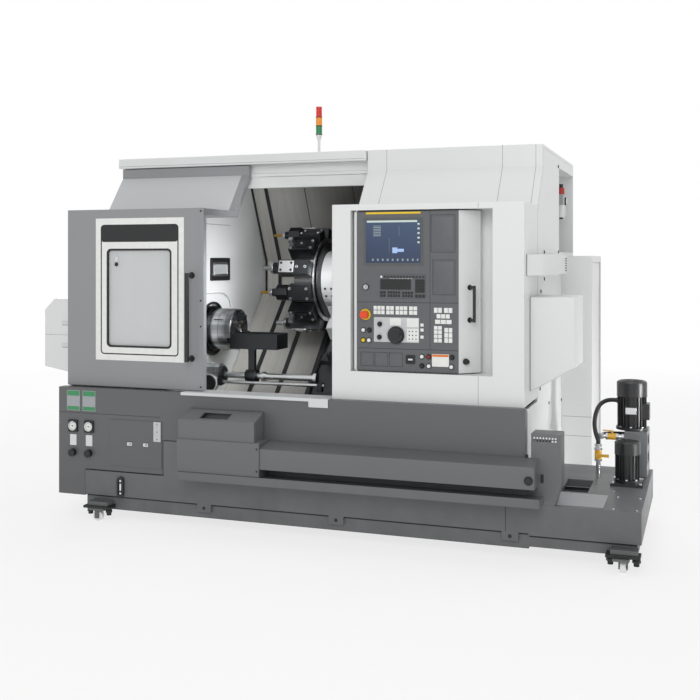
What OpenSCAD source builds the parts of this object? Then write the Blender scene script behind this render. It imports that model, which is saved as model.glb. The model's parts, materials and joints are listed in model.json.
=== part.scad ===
// Slant-bed CNC turning lathe: enclosure, sliding door, swinging operator panel,
// spindle with three-jaw chuck, twelve-station turret, parts catcher, coolant tank.
// X runs along the spindle, Y to the rear, Z up. Origin: centre of the footprint, on the floor.

/* [Enclosure] */
// Left end wall
left_x = -1476; // [-1490:1:-1466]
// Right end wall
right_x = 1262; // [1256:1:1272]
// Front plane of the door and the front cover
front_y = -875; // [-885:1:-865]
// Rear wall
rear_y = 1075; // [1060:1:1090]
// Top of the base, below the door
base_top = 757; // [750:1:762]
// Top of the door and of the front cover
door_top = 1798; // [1780:1:1840]
// Top of the roof
roof_top = 2155; // [2140:1:2200]
// Thickness of a folded sheet panel
wall = 20; // [16:1:22]

/* [Door] */
// Left edge of the door when open
door_x0 = -1451; // [-1455:1:-1440]
// Width of the door
door_w = 902; // [880:1:920]
// Thickness of the door
door_t = 38; // [30:1:40]
// Width of the door window
window_w = 421; // [300:1:500]
// Height of the door window
window_h = 566; // [400:1:650]

/* [Front cover and panel] */
// Left edge of the front cover
cover_x0 = 226; // [224:1:232]
// Left edge of the pocket for the operator panel
pocket_x0 = 331; // [325:1:340]
// Width of the pocket
pocket_w = 768; // [760:1:790]
// Height of the pocket
pocket_h = 859; // [855:1:865]
// Depth of the pocket
pocket_d = 170; // [160:1:180]
// Width of the grey operator face
face_w = 557; // [550:1:565]

/* [Spindle] */
// Height of the spindle axis above the floor
axis_z = 1075; // [1065:1:1085]
// Spindle axis, measured from the origin to the front
axis_y = -300; // [-305:1:-295]
// Diameter of the chuck
chuck_d = 254; // [240:1:264]
// Radius of the spindle in its bearings
spindle_r = 85; // [75:1:95]
// Radius of the bore through the chuck
chuck_bore = 32; // [28:1:36]

/* [Turret] */
// Distance between turret and spindle axes, along the slant
reach = 430; // [425:1:445]
// Radius of the turret across its flats
turret_r = 240; // [230:1:245]
// Thickness of the turret disc
turret_t = 130; // [115:1:135]

/* [Coolant tank] */
// Height of the tank top
tank_top = 287; // [280:1:295]
// Right end of the tank
tank_x1 = 1833; // [1800:1:1840]
// Height of the tank floor
tank_z0 = 60; // [55:1:70]
// Radius of a caster wheel
wheel_r = 30; // [26:1:32]

/* [Hidden] */
$fn = 48;

// Clearances: running fit, sliding fit and the joint between two panels
run = 0.05;
slide = 0.3;
seam = 5;

// Slant of the bed: the plane z = y + slant_c
slant_n = 440;
slant_c = axis_z - axis_y - slant_n * sqrt(2);
slant_y = axis_y + (reach + slant_n) / sqrt(2);
slant_z = slant_y + slant_c;

// Body
apron_y = front_y - 50;
body_z0 = 131;
roof_z0 = roof_top - wall;
ledge_y = -455;
brow_y = -275;
brow_z = 2029;
band_y = brow_y - wall;
rear_in = rear_y - wall;
left_in = left_x + wall;
right_in = right_x - wall;
lintel_y = -225;
lintel_z = 1950;
bed_x0 = left_in + 16;
bed_x1 = right_in - 12;
bed_y0 = -280;
bed_y1 = 1000;
bed_top = 1250;
bed_crest = bed_top - slant_c;
foot_h = 60;
bed_foot = bed_y0 + slant_c;

// Chamber: its right end stands clear of the panel's pocket
pocket_t = 12;
chamber_x0 = -790;
chamber_x1 = pocket_x0 + pocket_w + pocket_t + 2;
chamber_t = 16;
inner_y = front_y + 50;
inner_z = door_top - 53;

// Recess for the air unit, behind the chamber's right end
recess_x0 = chamber_x1 + wall + 2;
recess_y0 = 355;
recess_z0 = 1532;
recess_z1 = 2094;

// Spindle stations along X
chuck_x1 = -605;
chuck_x0 = -765;
flange_x0 = -808;
head_x1 = -815;
tail_x = -1700;
tail_r = 60;
chuck_r = chuck_d / 2;
jaw_w = 36;
jaw_deep = 28;

// Turret stations along X
turret_x1 = -130;
turret_x0 = turret_x1 - turret_t;
holder_h = 70;
holder_x0 = turret_x0 - 80;
nose_x0 = holder_x0 - 50;
stations = 12;
turret_shaft_r = 60;
way_h = 40;
way_w = 70;
way_low = -300;
way_high = 160;
saddle_n = 150;
rail_h = 30;
cross_n = 260;

// Operator panel
panel_x0 = pocket_x0 + 12;
panel_y = front_y + 27;
panel_z0 = 914;
panel_h = pocket_h - 11;
panel_z1 = panel_z0 + panel_h;
face_x0 = panel_x0 + 16;
face_t = 6;
face_y = panel_y - face_t;
pocket_z0 = panel_z0 - seam;
pocket_y = front_y + pocket_d;
pin_r = 8;
pin_in = 11;
pin_x = panel_x0 + pin_in;
pin_y = panel_y + pin_in;
slope_x = face_x0 + face_w;
slope_run = 94;
stem_deep = 14;

// Controls on the operator face: places along X and Z, stem radius
stop_at = [408, 1212, 10];
key_at = [411, 1359, 9];
dial_at = [579, 1106, 8];
knob_1_at = [490, 1163, 5];
knob_2_at = [488, 1094, 5];
buttons = [[397, 1129], [431, 1129], [397, 1075], [429, 1075], [721, 997], [758, 997], [721, 948],
  [758, 948], [882, 997], [879, 948]];

// Coolant tank
tank_y = apron_y - 5;
tank_step = 140;
pan_x0 = -1290;
pan_x1 = 1290;
pan_h = 280;
collar_x0 = -774;
collar_z = 478;
chip_x0 = 1400;
chip_y0 = -580;
wheel_w = 28;
axle_r = 5;
caster_y = tank_y - 30;
caster_x = [-1180, 1750];

// Front conveyor
tray_y = tank_y - 145;
box_y = tank_y - 130;
tray_z = 331;

// Pumps and pipework
tall_at = [1725, 0];
short_at = [1722, -300];
block_x0 = tall_at.x - 35;
block_x1 = tall_at.x + 90;
block_z = 540;
valve_at = [1552, -150];
valve_z = 505;
valve_y = -90;
hose_r = 12;
hose_small_r = 9;
hose_upper_path = [[1640, 0, 700], [1615, 0, 700], [1592, -8, 698], [1571, -20, 690], [1554, -34, 677],
  [1542, -50, 659], [1534, -66, 638], [1529, -82, 615], [1527, -97, 591], [1528, -110, 567],
  [1532, -122, 543], [1538, -133, 522], [1545, -142, 504], [1552, -150, 488], [1552, -150, 470]];
hose_lower_path = [[1690, 40, 505], [1676, 40, 505], [1663, 40, 505], [1650, 40, 505], [1634, 38, 505],
  [1619, 34, 505], [1605, 28, 505], [1593, 20, 505], [1582, 10, 505], [1573, -2, 505], [1566, -16, 505],
  [1562, -31, 505], [1560, -46, 505], [1560, -58, 505], [1560, -70, 505]];

// Parts catcher
catch_y = -620;
catch_z = 830;
catch_r = 18;
catch_x0 = -560;

// Signal tower
tower_at = [-200, 25];
tower_lens_z = roof_top + 145;
lens_h = 55;
lens_r = 20;
tower_top = tower_lens_z + 177;

// Gauge places on the apron
gauge_x = [-1375, -1267];
gauge_z = 532;
knob_z = 377;
level_at = [-1051, 197];

// A box from its limits
module box(x0, x1, y0, y1, z0, z1) translate([x0, y0, z0]) cube([x1 - x0, y1 - y0, z1 - z0]);
// Extrusions: an outline in Y and Z along X, in X and Z along Y, or in X and Y along Z
module along_x(x0, x1) translate([x0, 0, 0]) rotate([90, 0, 90]) linear_extrude(x1 - x0) children();
module along_y(y0, y1) translate([0, y1, 0]) rotate([90, 0, 0]) linear_extrude(y1 - y0) children();
module along_z(z0, z1) translate([0, 0, z0]) linear_extrude(z1 - z0) children();
// Cylinders along each axis
module cyl_x(x0, x1, r, y, z, n = $fn)
  translate([x0, y, z]) rotate([0, 90, 0]) cylinder(h = x1 - x0, r = r, $fn = n);
module cyl_y(y0, y1, r, x, z) translate([x, y1, z]) rotate([90, 0, 0]) cylinder(h = y1 - y0, r = r);
module cyl_z(z0, z1, r, x, y) translate([x, y, z0]) cylinder(h = z1 - z0, r = r);
// The bed's own frame: Y up the slant, Z square to it
module on_slant() translate([0, slant_y, slant_z]) rotate([45, 0, 0]) children();
// The spindle's own frame: X along the axis
module on_axis() translate([0, axis_y, axis_z]) children();

module bed_casting() color("dimgray") {
  along_x(bed_x0, bed_x1) polygon([[bed_y0, foot_h], [bed_y1, foot_h], [bed_y1, bed_top], [bed_crest, bed_top],
    [bed_y0, bed_foot]]);
  for (v = [way_low, way_high])
    on_slant() box(chamber_x0 + 4, chamber_x1 - 4, v - way_w / 2, v + way_w / 2, 0, way_h);
}

module levelling_feet() color("gray")
  for (x = [bed_x0 + 150, (bed_x0 + bed_x1) / 2, bed_x1 - 150], y = [bed_y0 + 110, bed_y1 - 110]) {
    cyl_z(0, 22, 65, x, y);
    cyl_z(22, foot_h, 20, x, y);
  }

module front_apron() color("#606163") {
  along_y(apron_y, apron_y + wall) polygon([[left_x, body_z0], [pan_x0 - 1, body_z0], [pan_x0 - 1, pan_h + 4],
    [collar_x0, pan_h + 4], [collar_x0, collar_z], [right_x + 12, collar_z], [right_x + 12, base_top],
    [left_x, base_top]]);
  box(left_x, right_x + 12, apron_y + wall, front_y + 13, base_top - wall, base_top);
  box(left_x, left_in, apron_y + wall, inner_y, body_z0, base_top - wall);
  box(right_x - 8, right_x + 12, apron_y + wall, front_y + wall, collar_z, base_top - wall);
}

module access_panel() color("#606163") {
  difference() {
    box(-1127, -786, apron_y - 4, apron_y, 317, 583);
    for (x = [-994, -889]) box(x - 20, x + 20, apron_y - 5, apron_y - 2, 434, 460);
  }
  for (x = [-994, -889]) box(x - 17, x + 17, apron_y - 3.5, apron_y - 2, 437, 457);
}

module chamber_end(bore) difference() {
  along_x(0, wall) polygon([[inner_y, base_top], [inner_y, inner_z], [ledge_y + 30, inner_z],
    [brow_y, lintel_z - 10], [lintel_y + 25, lintel_z - 10], [lintel_y + 25, roof_z0 - 5],
    [bed_crest + 24, roof_z0 - 5], [bed_crest + 24, bed_top], [bed_crest, bed_top], [bed_y0, bed_foot],
    [bed_y0 - 10, bed_foot - 9], [-526, bed_foot + 11], [-783, base_top - 13], [inner_y, base_top - 13]]);
  if (bore > 0) cyl_x(-1, wall + 1, bore, axis_y, axis_z);
}

module chamber_shell() color("#d8dadb") {
  translate([chamber_x0 - wall, 0, 0]) chamber_end(155);
  translate([chamber_x1, 0, 0]) chamber_end(0);
  along_x(chamber_x0, chamber_x1) polygon([[-860, base_top - 13], [-860, base_top], [-775, base_top],
    [-520, bed_foot + 27], [bed_y0 - 10, bed_foot + 7], [bed_y0 - 10, bed_foot - 9], [-526, bed_foot + 11],
    [-783, base_top - 13]]);
  along_x(chamber_x0, chamber_x1) polygon([[bed_crest + 8, bed_top], [bed_crest + 8, 1495], [255, 2000],
    [120, 2093], [120, 2112], [268, 2010], [bed_crest + 24, 1500], [bed_crest + 24, bed_top]]);
  along_x(-664, cover_x0 - 4) polygon([[apron_y - 6, base_top - 15], [apron_y - 6, base_top + 3],
    [-790, base_top + 3], [-790, base_top], [apron_y - 0.5, base_top], [apron_y - 0.5, base_top - 15]]);
  box(110, cover_x0 - 4, apron_y - 6, apron_y - 0.5, base_top - 45, base_top - 15);
}

module headstock() color("gainsboro") difference() {
  along_x(bed_x0, head_x1) polygon([[axis_y - 260, axis_z - 375], [axis_y - 260, axis_z + 225],
    [axis_y - 220, axis_z + 265], [axis_y + 300, axis_z + 265], [330, 330 + slant_c], [bed_y0, bed_foot],
    [bed_y0 - 120, bed_foot]]);
  cyl_x(bed_x0 - 1, head_x1 + 1, spindle_r + run, axis_y, axis_z);
}

module right_cover() color("whitesmoke") {
  difference() {
    union() {
      box(cover_x0, right_x - 2, front_y, front_y + wall, base_top, door_top + 2);
      box(cover_x0, right_x - 2, front_y + wall, ledge_y + 25, door_top - 18, door_top + 2);
      box(cover_x0, cover_x0 + wall, front_y + wall, pocket_y + 5, base_top, door_top - 18);
      box(right_x - 22, right_x - 2, front_y + wall, ledge_y, base_top, door_top - 18);
      box(pocket_x0 - pocket_t, pocket_x0 + pocket_w + pocket_t, front_y + wall, pocket_y + pocket_t,
        pocket_z0 - pocket_t, pocket_z0 + pocket_h + pocket_t);
    }
    box(pocket_x0, pocket_x0 + pocket_w, front_y - 1, pocket_y, pocket_z0, pocket_z0 + pocket_h);
  }
  cyl_z(pocket_z0, panel_z0 + 25, pin_r, pin_x, pin_y);
  cyl_z(panel_z1 - 25, pocket_z0 + pocket_h, pin_r, pin_x, pin_y);
}

module hood() color("whitesmoke") along_x(cover_x0, right_x) polygon([[ledge_y, door_top + 2], [brow_y, brow_z],
  [brow_y, roof_top], [lintel_y + wall, roof_top], [lintel_y + wall, roof_z0], [brow_y + wall, roof_z0],
  [brow_y + wall, brow_z - 7], [ledge_y + 25, door_top + 2]]);

module roof() color("whitesmoke") {
  box(left_x, right_x, lintel_y + wall, rear_y, roof_z0, roof_top);
  along_x(left_x + 7, cover_x0 - 4) polygon([[band_y, roof_top - 62], [band_y, roof_top],
    [lintel_y + wall, roof_top], [lintel_y + wall, lintel_z], [lintel_y, lintel_z], [lintel_y, roof_top - 62]]);
  box(left_in, cover_x0 - 4, brow_y + door_t + slide, lintel_y, lintel_z + 70, lintel_z + 90);
}

module enclosure() color("whitesmoke") difference() {
  union() {
    along_x(left_x, left_in) polygon([[inner_y, body_z0], [inner_y, inner_z], [ledge_y + 30, inner_z],
      [brow_y, lintel_z - 10], [lintel_y + 25, lintel_z - 10], [lintel_y + 25, roof_z0], [rear_y, roof_z0],
      [rear_y, body_z0]]);
    along_x(right_in, right_x) polygon([[front_y + 22, tank_top + 13], [front_y + 22, base_top - wall - 1],
      [ledge_y + 3, base_top - wall - 1], [ledge_y + 3, door_top - 20], [ledge_y + 27, door_top - 20],
      [ledge_y + 27, door_top + 1], [brow_y + 23, brow_z - 6], [brow_y + 23, roof_z0], [rear_y, roof_z0],
      [rear_y, body_z0], [160, body_z0], [160, tank_top + 13]]);
    box(left_in, right_in, rear_in, rear_y, body_z0, roof_z0);
    box(left_in, chamber_x0 - wall, inner_y, inner_y + wall, base_top, inner_z);
    box(recess_x0, right_in, recess_y0, rear_in, recess_z0, recess_z1);
  }
  box(recess_x0 + wall, right_x + 1, recess_y0 + wall, rear_in, recess_z0 + wall, recess_z1 - wall);
  cyl_x(left_x - 1, left_in + 1, tail_r + wall, axis_y, axis_z);
}

module cylinder_cover() color("whitesmoke") difference() {
  along_y(-575, -25) polygon([[left_x, 770], [left_x, 1260], [-1760, 1260], [-1833, 1190], [-1833, 830]]);
  along_y(-560, -40)
    polygon([[left_x + 1, 790], [left_x + 1, 1245], [-1754, 1245], [-1818, 1184], [-1818, 842]]);
  for (z = [960, 1100]) box(-1700, -1540, -576, -559, z, z + 14);
}

module cable_duct() color("whitesmoke") along_z(1421, 1533)
  polygon([[right_x, -810], [right_x + 75, -735], [right_x + 75, 170], [right_x, 170]]);

module side_box() color("whitesmoke") along_y(-705, -332)
  polygon([[right_x, 816], [right_x, 1311], [right_x + 227, 1311], [right_x + 227, 946]]);

module rear_cabinet() color("gainsboro") difference() {
  box(right_x, right_x + 187, 495, 1065, 203, 1529);
  box(right_x + 179, right_x + 188, 535, 1025, 243, 1489);
}

module air_unit() color("silver") {
  unit_x = recess_x0 + wall;
  unit_z = recess_z1 - 244;
  box(unit_x, unit_x + 60, 600, 690, unit_z, unit_z + 40);
  cyl_z(unit_z - 150, unit_z, 24, unit_x + 30, 622);
  cyl_z(unit_z - 110, unit_z, 20, unit_x + 30, 668);
}

module signal_pole() color("whitesmoke") {
  cyl_z(roof_top, roof_top + 10, 32, tower_at.x, tower_at.y);
  cyl_z(roof_top + 10, tower_lens_z - 30, 9, tower_at.x, tower_at.y);
  translate([tower_at.x, tower_at.y, tower_lens_z - 30]) cylinder(h = 30, r1 = 12, r2 = 21);
}

module signal_lenses() color("red") {
  for (i = [0:1])
    cyl_z(tower_lens_z + i * lens_h, tower_lens_z + (i + 1) * lens_h, lens_r, tower_at.x, tower_at.y);
  cyl_z(tower_lens_z + 2 * lens_h, tower_top, lens_r - 1, tower_at.x, tower_at.y);
}

module parts_box() color("#6b6c6e") difference() {
  union() {
    box(-608, -121, box_y, tank_y, tray_z, 527);
    along_x(-608, -150) polygon([[box_y, 527], [box_y, 631], [tank_y - 15, 672], [tank_y, 672], [tank_y, 527]]);
  }
  along_x(-598, -160) polygon([[box_y + 10, tray_z + 10], [box_y + 10, 622], [tank_y - 17, 660],
    [tank_y - 10, 660], [tank_y - 10, tray_z + 10]]);
  box(-490, -320, box_y + 25, box_y + 95, 600, 690);
}

module conveyor_cover() color("#6b6c6e") {
  along_x(-121, 1340) polygon([[box_y, 385], [box_y, 495], [tank_y, 520], [tank_y, 385]]);
  along_x(-608, 1366) polygon([[tray_y, tray_z - 31], [tray_y, tray_z + 14], [tray_y + 10, tray_z + 14],
    [tray_y + 10, tray_z], [tank_y, tray_z], [tank_y, tray_z - 31]]);
  along_y(tank_y, tank_y + 125) polygon([[1290, tank_top], [1290, 388], [1451, 388], [1420, tank_top]]);
  drive_cover();
}

module drive_cover() difference() {
  box(1303, 1451, tank_y, tank_y + 125, 388, 640);
  for (i = [0:7], k = [0, 1])
    box(1315 + i * 15, 1324 + i * 15, tank_y - 1, tank_y + 4, 600 + k * 14, 609 + k * 14);
}

// One caster bracket: a plate, two cheeks and the axle; the wheel turns about Y, or about X when turned
module caster_bracket() {
  box(-52, 52, -32, 48, 2 * wheel_r + 4, 2 * wheel_r + 16);
  for (y = [-wheel_w / 2 - 8, wheel_w / 2 + 2]) box(-14, 14, y, y + 6, wheel_r - 12, 2 * wheel_r + 4);
  cyl_y(-wheel_w / 2 - 8, wheel_w / 2 + 8, axle_r, 0, wheel_r);
}
module at_caster(i) translate([caster_x[i], caster_y, 0]) rotate([0, 0, 90 * i]) children();

module tank() color("#5d5e60") {
  difference() {
    union() {
      box(pan_x0, pan_x1, tank_y, bed_y0 - 50, tank_step, pan_h);
      box(pan_x0, pan_x1, tank_y + 18, bed_y0 - 50, tank_z0, tank_step);
      box(pan_x1, tank_x1, tank_y, 150, tank_step - 10, tank_top);
      box(pan_x1, tank_x1 - 18, tank_y + 18, 150, tank_z0 + 10, tank_step - 10);
      box(collar_x0, pan_x1, tank_y, apron_y + wall, pan_h, collar_z);
      for (x = [-560, 225, 1155]) box(x, x + 85, tank_y, tank_y + 18, tank_step - 45, tank_step);
    }
    box(chip_x0, chip_x0 + 140, chip_y0, chip_y0 + 310, tank_z0 + 40, tank_top + 1);
  }
  for (i = [0, 1]) at_caster(i) caster_bracket();
}

module caster_wheel() difference() {
  cyl_y(-wheel_w / 2, wheel_w / 2, wheel_r, 0, wheel_r);
  cyl_y(-wheel_w, wheel_w, axle_r + run, 0, wheel_r);
}
module caster_wheel_1() color("white") at_caster(0) caster_wheel();
module caster_wheel_2() color("white") at_caster(1) caster_wheel();

// A vertical pump motor: flange, finned body, fan cowl
module motor(r, h, fins) {
  cylinder(h = 14, r = r * 1.05);
  translate([0, 0, 14]) cylinder(h = h * 0.68 - 14, r = r * 0.86);
  for (i = [0:fins - 1]) rotate(i * 360 / fins) translate([0, -2, 14]) cube([r * 0.96, 4, h * 0.68 - 14]);
  translate([0, 0, h * 0.68]) cylinder(h = h * 0.29, r = r);
  translate([0, 0, h * 0.97]) cylinder(h = h * 0.03, r1 = r, r2 = r * 0.9);
}

module pump_tall() color("#262728") {
  translate([tall_at.x, tall_at.y, block_z]) motor(84, 275, 24);
  cyl_x(hose_upper_path[0].x, tall_at.x - 60, hose_r + 4, tall_at.y, hose_upper_path[0].z);
}

module pump_short() color("#262728") {
  box(short_at.x - 85, short_at.x + 85, short_at.y - 85, short_at.y + 85, tank_top, tank_top + 14);
  translate([short_at.x, short_at.y, tank_top + 14]) motor(68, 220, 20);
}

module pump_manifold() color("#4a4b4d") difference() {
  box(block_x0, block_x1, tall_at.y - 110, tall_at.y + 130, tank_top, block_z);
  for (z = [350, 450]) box(block_x1 - 15, block_x1 + 1, tall_at.y - 70, tall_at.y + 90, z, z + 60);
}

// A tube swept along its points
function tangent(p, i) = let (a = p[max(i - 1, 0)], b = p[min(i + 1, len(p) - 1)]) (b - a) / norm(b - a);
function side(t) = let (s = cross(t, [0, 0, 1])) norm(s) > 0.2 ? s / norm(s) : [0, -1, 0];
function ring(c, t, r, n) = let (a = side(t), b = cross(a, t))
  [for (k = [0:n - 1]) c + r * (cos(360 * k / n) * a + sin(360 * k / n) * b)];
function flat(rings) = [for (q = rings) each q];
module tube(path, r, n = 10) {
  last = len(path) - 1;
  polyhedron(flat([for (i = [0:last]) ring(path[i], tangent(path, i), r, n)]),
    concat([[for (k = [0:n - 1]) k]], [[for (k = [0:n - 1]) last * n + n - 1 - k]],
      [for (i = [0:last - 1], k = [0:n - 1]) [i * n + k, (i + 1) * n + k, (i + 1) * n + (k + 1) % n,
        i * n + (k + 1) % n]]));
}

module hose_upper() color("#1c1c1d") tube(hose_upper_path, hose_r);
module hose_lower() color("#1c1c1d") tube(hose_lower_path, hose_small_r);

module pipework() color("silver") {
  cyl_z(tank_top, 385, 13, valve_at.x, valve_at.y);
  cyl_z(435, 470, 15, valve_at.x, valve_at.y);
  cyl_x(1645, block_x0, 11, valve_y, valve_z);
  cyl_x(1575, 1600, 11, valve_y, valve_z);
  box(1545, 1575, valve_y - 15, valve_y + 20, valve_z - 15, valve_z + 15);
}

module valves() color("goldenrod") {
  cyl_z(385, 435, 19, valve_at.x, valve_at.y);
  cyl_y(valve_at.y - 32, valve_at.y, 8, valve_at.x, 410);
  box(valve_at.x - 8, valve_at.x + 62, valve_at.y - 38, valve_at.y - 32, 402, 418);
  cyl_x(1600, 1645, 18, valve_y, valve_z);
  cyl_z(valve_z, valve_z + 30, 7, 1622, valve_y);
  box(1572, 1630, valve_y - 7, valve_y + 7, valve_z + 30, valve_z + 35);
}

module gauges() color("#202020") {
  for (x = gauge_x) {
    difference() {
      box(x - 31, x + 31, apron_y - 10, apron_y, gauge_z - 35, gauge_z + 35);
      cyl_y(apron_y - 11, apron_y - 4, 26, x, gauge_z);
    }
    cyl_y(apron_y - 14, apron_y - 4, 24, x, gauge_z);
    box(x - 22, x + 22, apron_y - 3, apron_y, gauge_z - 114, gauge_z - 50);
    cyl_y(apron_y - 20, apron_y, 6, x, knob_z);
  }
  translate([level_at.x, tank_y, level_at.y]) rotate([90, 0, 0]) linear_extrude(12) {
    translate([0, -38]) circle(22);
    translate([0, 38]) circle(22);
    square([44, 76], center = true);
  }
}

module pressure_knob(i) color("#151515") difference() {
  cyl_y(apron_y - 26, apron_y - 1, 21, gauge_x[i], knob_z);
  cyl_y(apron_y - 20 - slide, apron_y, 6 + run, gauge_x[i], knob_z);
}
module pressure_knob_1() pressure_knob(0);
module pressure_knob_2() pressure_knob(1);

module work_light() color("#1b1b1c") difference() {
  box(chamber_x0, chamber_x0 + 16, -330, -80, 1374, 1516);
  box(chamber_x0 + 10, chamber_x0 + 17, -308, -102, 1396, 1494);
}

module catcher_mount() color("#8b8d8f") {
  cyl_x(chamber_x0, catch_x0, 66, catch_y, catch_z, 8);
  cyl_x(catch_x0, 20, catch_r, catch_y, catch_z);
  cyl_x(20, 40, 30, catch_y, catch_z);
}

module catcher() color("#3b3c3d") {
  difference() {
    union() {
      cyl_x(-400, -330, 36, catch_y, catch_z);
      box(-385, -345, catch_y - 15, catch_y + 15, catch_z, 990);
    }
    cyl_x(-401, -329, catch_r + run, catch_y, catch_z);
  }
  difference() {
    box(-500, -200, catch_y - 20, catch_y + 140, 985, 1075);
    box(-490, -210, catch_y - 10, catch_y + 130, 995, 1076);
  }
}

module saddle() color("#77797b") on_slant() {
  difference() {
    box(-125, 340, way_low - 70, way_high + 70, 4, saddle_n);
    for (v = [way_low, way_high])
      box(-141, 341, v - way_w / 2 - slide, v + way_w / 2 + slide, 0, way_h + slide);
  }
  for (x = [-70, 270]) box(x - 30, x + 30, way_low - 70, way_high + 70, saddle_n, saddle_n + rail_h);
}

module cross_slide() color("#c9cbcc") on_slant() difference() {
  union() {
    box(-125, 340, -250, 170, saddle_n + 2, cross_n);
    box(-110, 260, -170, 170, cross_n, slant_n);
    cyl_x(-110, 260, 180, 0, slant_n);
  }
  for (x = [-70, 270])
    box(x - 30 - slide, x + 30 + slide, -251, 171, saddle_n, saddle_n + rail_h + slide);
  cyl_x(-111, 100, turret_shaft_r + run, 0, slant_n);
}

// Turret frame: X along the turret's axis, Z out to the station
module at_station(i) on_slant() translate([0, 0, slant_n]) rotate([i * 360 / stations, 0, 0]) children();

module turret_disc() color("silver") on_slant() {
  difference() {
    translate([0, 0, slant_n]) rotate([180 / stations, 0, 0])
      cyl_x(turret_x0, turret_x1, turret_r / cos(180 / stations), 0, 0, stations);
    cyl_x(turret_x0 - 1, turret_x0 + 30, 110, 0, slant_n);
  }
  cyl_x(turret_x1, 80, turret_shaft_r, 0, slant_n);
}

module turning_block() {
  box(holder_x0 + 40, turret_x1 - 10, -42, 42, turret_r, turret_r + holder_h);
  box(holder_x0 + 40, turret_x0, -42, 42, turret_r - 40, turret_r);
}
module boring_block() {
  box(holder_x0, turret_x1 - 10, -44, 44, turret_r, turret_r + holder_h + 16);
  cyl_x(nose_x0, holder_x0, 36, 0, turret_r + 46);
}
module driven_block() {
  box(turret_x0 - 20, turret_x1 - 10, -44, 44, turret_r, turret_r + holder_h);
  cyl_x(holder_x0 - 10, turret_x0 - 20, 50, 0, turret_r + 50, 8);
  cyl_x(nose_x0 - 10, holder_x0 - 10, 25, 0, turret_r + 50);
}

module tool_holders() color("#2b2c2d") for (i = [0:stations - 1]) at_station(i) {
  if (i % 3 == 0) turning_block();
  if (i % 3 == 1) boring_block();
  if (i % 3 == 2) driven_block();
}

module cutting_tools() color("lightgray") for (i = [0:stations - 1]) at_station(i) {
  if (i % 3 == 0) box(holder_x0 + 46, holder_x0 + 72, -13, 13, turret_r + holder_h, turret_r + holder_h + 50);
  if (i % 3 == 1) cyl_x(nose_x0 - 60, nose_x0, 14, 0, turret_r + 46);
  if (i % 3 == 2) cyl_x(nose_x0 - 75, nose_x0 - 10, 7, 0, turret_r + 50);
}

module spindle() color("silver") on_axis() difference() {
  union() {
    cyl_x(tail_x, bed_x0 - 10, tail_r, 0, 0);
    cyl_x(bed_x0 - 10, flange_x0, spindle_r, 0, 0);
    cyl_x(flange_x0, chuck_x0, 140, 0, 0);
  }
  cyl_x(tail_x - 1, chuck_x0 + 1, chuck_bore + 8, 0, 0);
}

module chuck_body() color("gainsboro") on_axis() difference() {
  cyl_x(chuck_x0, chuck_x1, chuck_r, 0, 0);
  cyl_x(chuck_x0 - 1, chuck_x1 + 1, chuck_bore, 0, 0);
  for (a = [0, 120, 240]) rotate([a, 0, 0])
    box(chuck_x1 - jaw_deep, chuck_x1 + 1, -jaw_w / 2, jaw_w / 2, chuck_bore + 8, chuck_r + 1);
}

module jaw(a) color("#55575a") on_axis() rotate([a, 0, 0])
  translate([0, jaw_w / 2 - slide, 0]) rotate([90, 0, 0]) linear_extrude(jaw_w - 2 * slide)
    polygon([[chuck_x1 - jaw_deep + slide, chuck_r - 72], [chuck_x1 - jaw_deep + slide, chuck_r - 8],
      [chuck_x1 + 5, chuck_r - 8], [chuck_x1 + 5, chuck_r - 23], [chuck_x1 + 25, chuck_r - 23],
      [chuck_x1 + 25, chuck_r - 39], [chuck_x1 + 45, chuck_r - 39], [chuck_x1 + 45, chuck_r - 72]]);
module jaw_1() jaw(0);
module jaw_2() jaw(120);
module jaw_3() jaw(240);

module actuator() color("gray") on_axis() difference() {
  union() {
    cyl_x(tail_x + 10, tail_x + 100, 118, 0, 0);
    cyl_x(tail_x + 100, tail_x + 150, 90, 0, 0);
  }
  cyl_x(tail_x, tail_x + 151, tail_r + run / 5, 0, 0);
}

module door() color("#97999b") difference() {
  along_x(door_x0, door_x0 + door_w) polygon([[front_y, base_top + 6], [front_y, door_top], [ledge_y, door_top],
    [brow_y, brow_z], [brow_y, 2090], [brow_y + door_t, 2090], [brow_y + door_t, brow_z - 14],
    [ledge_y + 19, door_top - door_t], [front_y + door_t, door_top - door_t],
    [front_y + door_t, base_top + 6]]);
  box(-1177, -1177 + window_w, front_y - 1, front_y + door_t + 1, 999, 999 + window_h);
}

module door_window() color("lightgray")
  box(-1177, -1177 + window_w, front_y + 8, front_y + 18, 999, 999 + window_h);

module door_handle() color("#1b1b1c") {
  cyl_z(931, 1430, 12.5, -622, front_y - 60);
  for (z = [945, 1416]) cyl_y(front_y - 60, front_y, 10, -622, z);
}

module control_bores(y0, y1) {
  for (c = [stop_at, key_at, dial_at, knob_1_at, knob_2_at]) cyl_y(y0, y1, c[2] + run, c[0], c[1]);
}

module panel_box() color("whitesmoke") difference() {
  along_z(panel_z0, panel_z1) polygon([[panel_x0, panel_y], [slope_x, panel_y],
    [slope_x + slope_run, panel_y + slope_run], [slope_x + slope_run, pocket_y - 10],
    [panel_x0, pocket_y - 10]]);
  cyl_z(panel_z0 - 1, panel_z0 + 26, pin_r + run, pin_x, pin_y);
  cyl_z(panel_z1 - 26, panel_z1 + 1, pin_r + run, pin_x, pin_y);
  control_bores(panel_y - 1, panel_y + stem_deep);
}

module panel_face() color("#58595b") difference() {
  box(face_x0, slope_x, face_y, panel_y, panel_z0, panel_z1);
  control_bores(face_y - 1, panel_y + 1);
  for (p = [[770, 898, 1544, 1738], [780, 898, 1322, 1503], [383, 452, 939, 1011], [462, 532, 939, 1011],
      [542, 614, 939, 1011]])
    box(p[0], p[1], face_y - 1, face_y + 2, p[2], p[3]);
}

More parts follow.
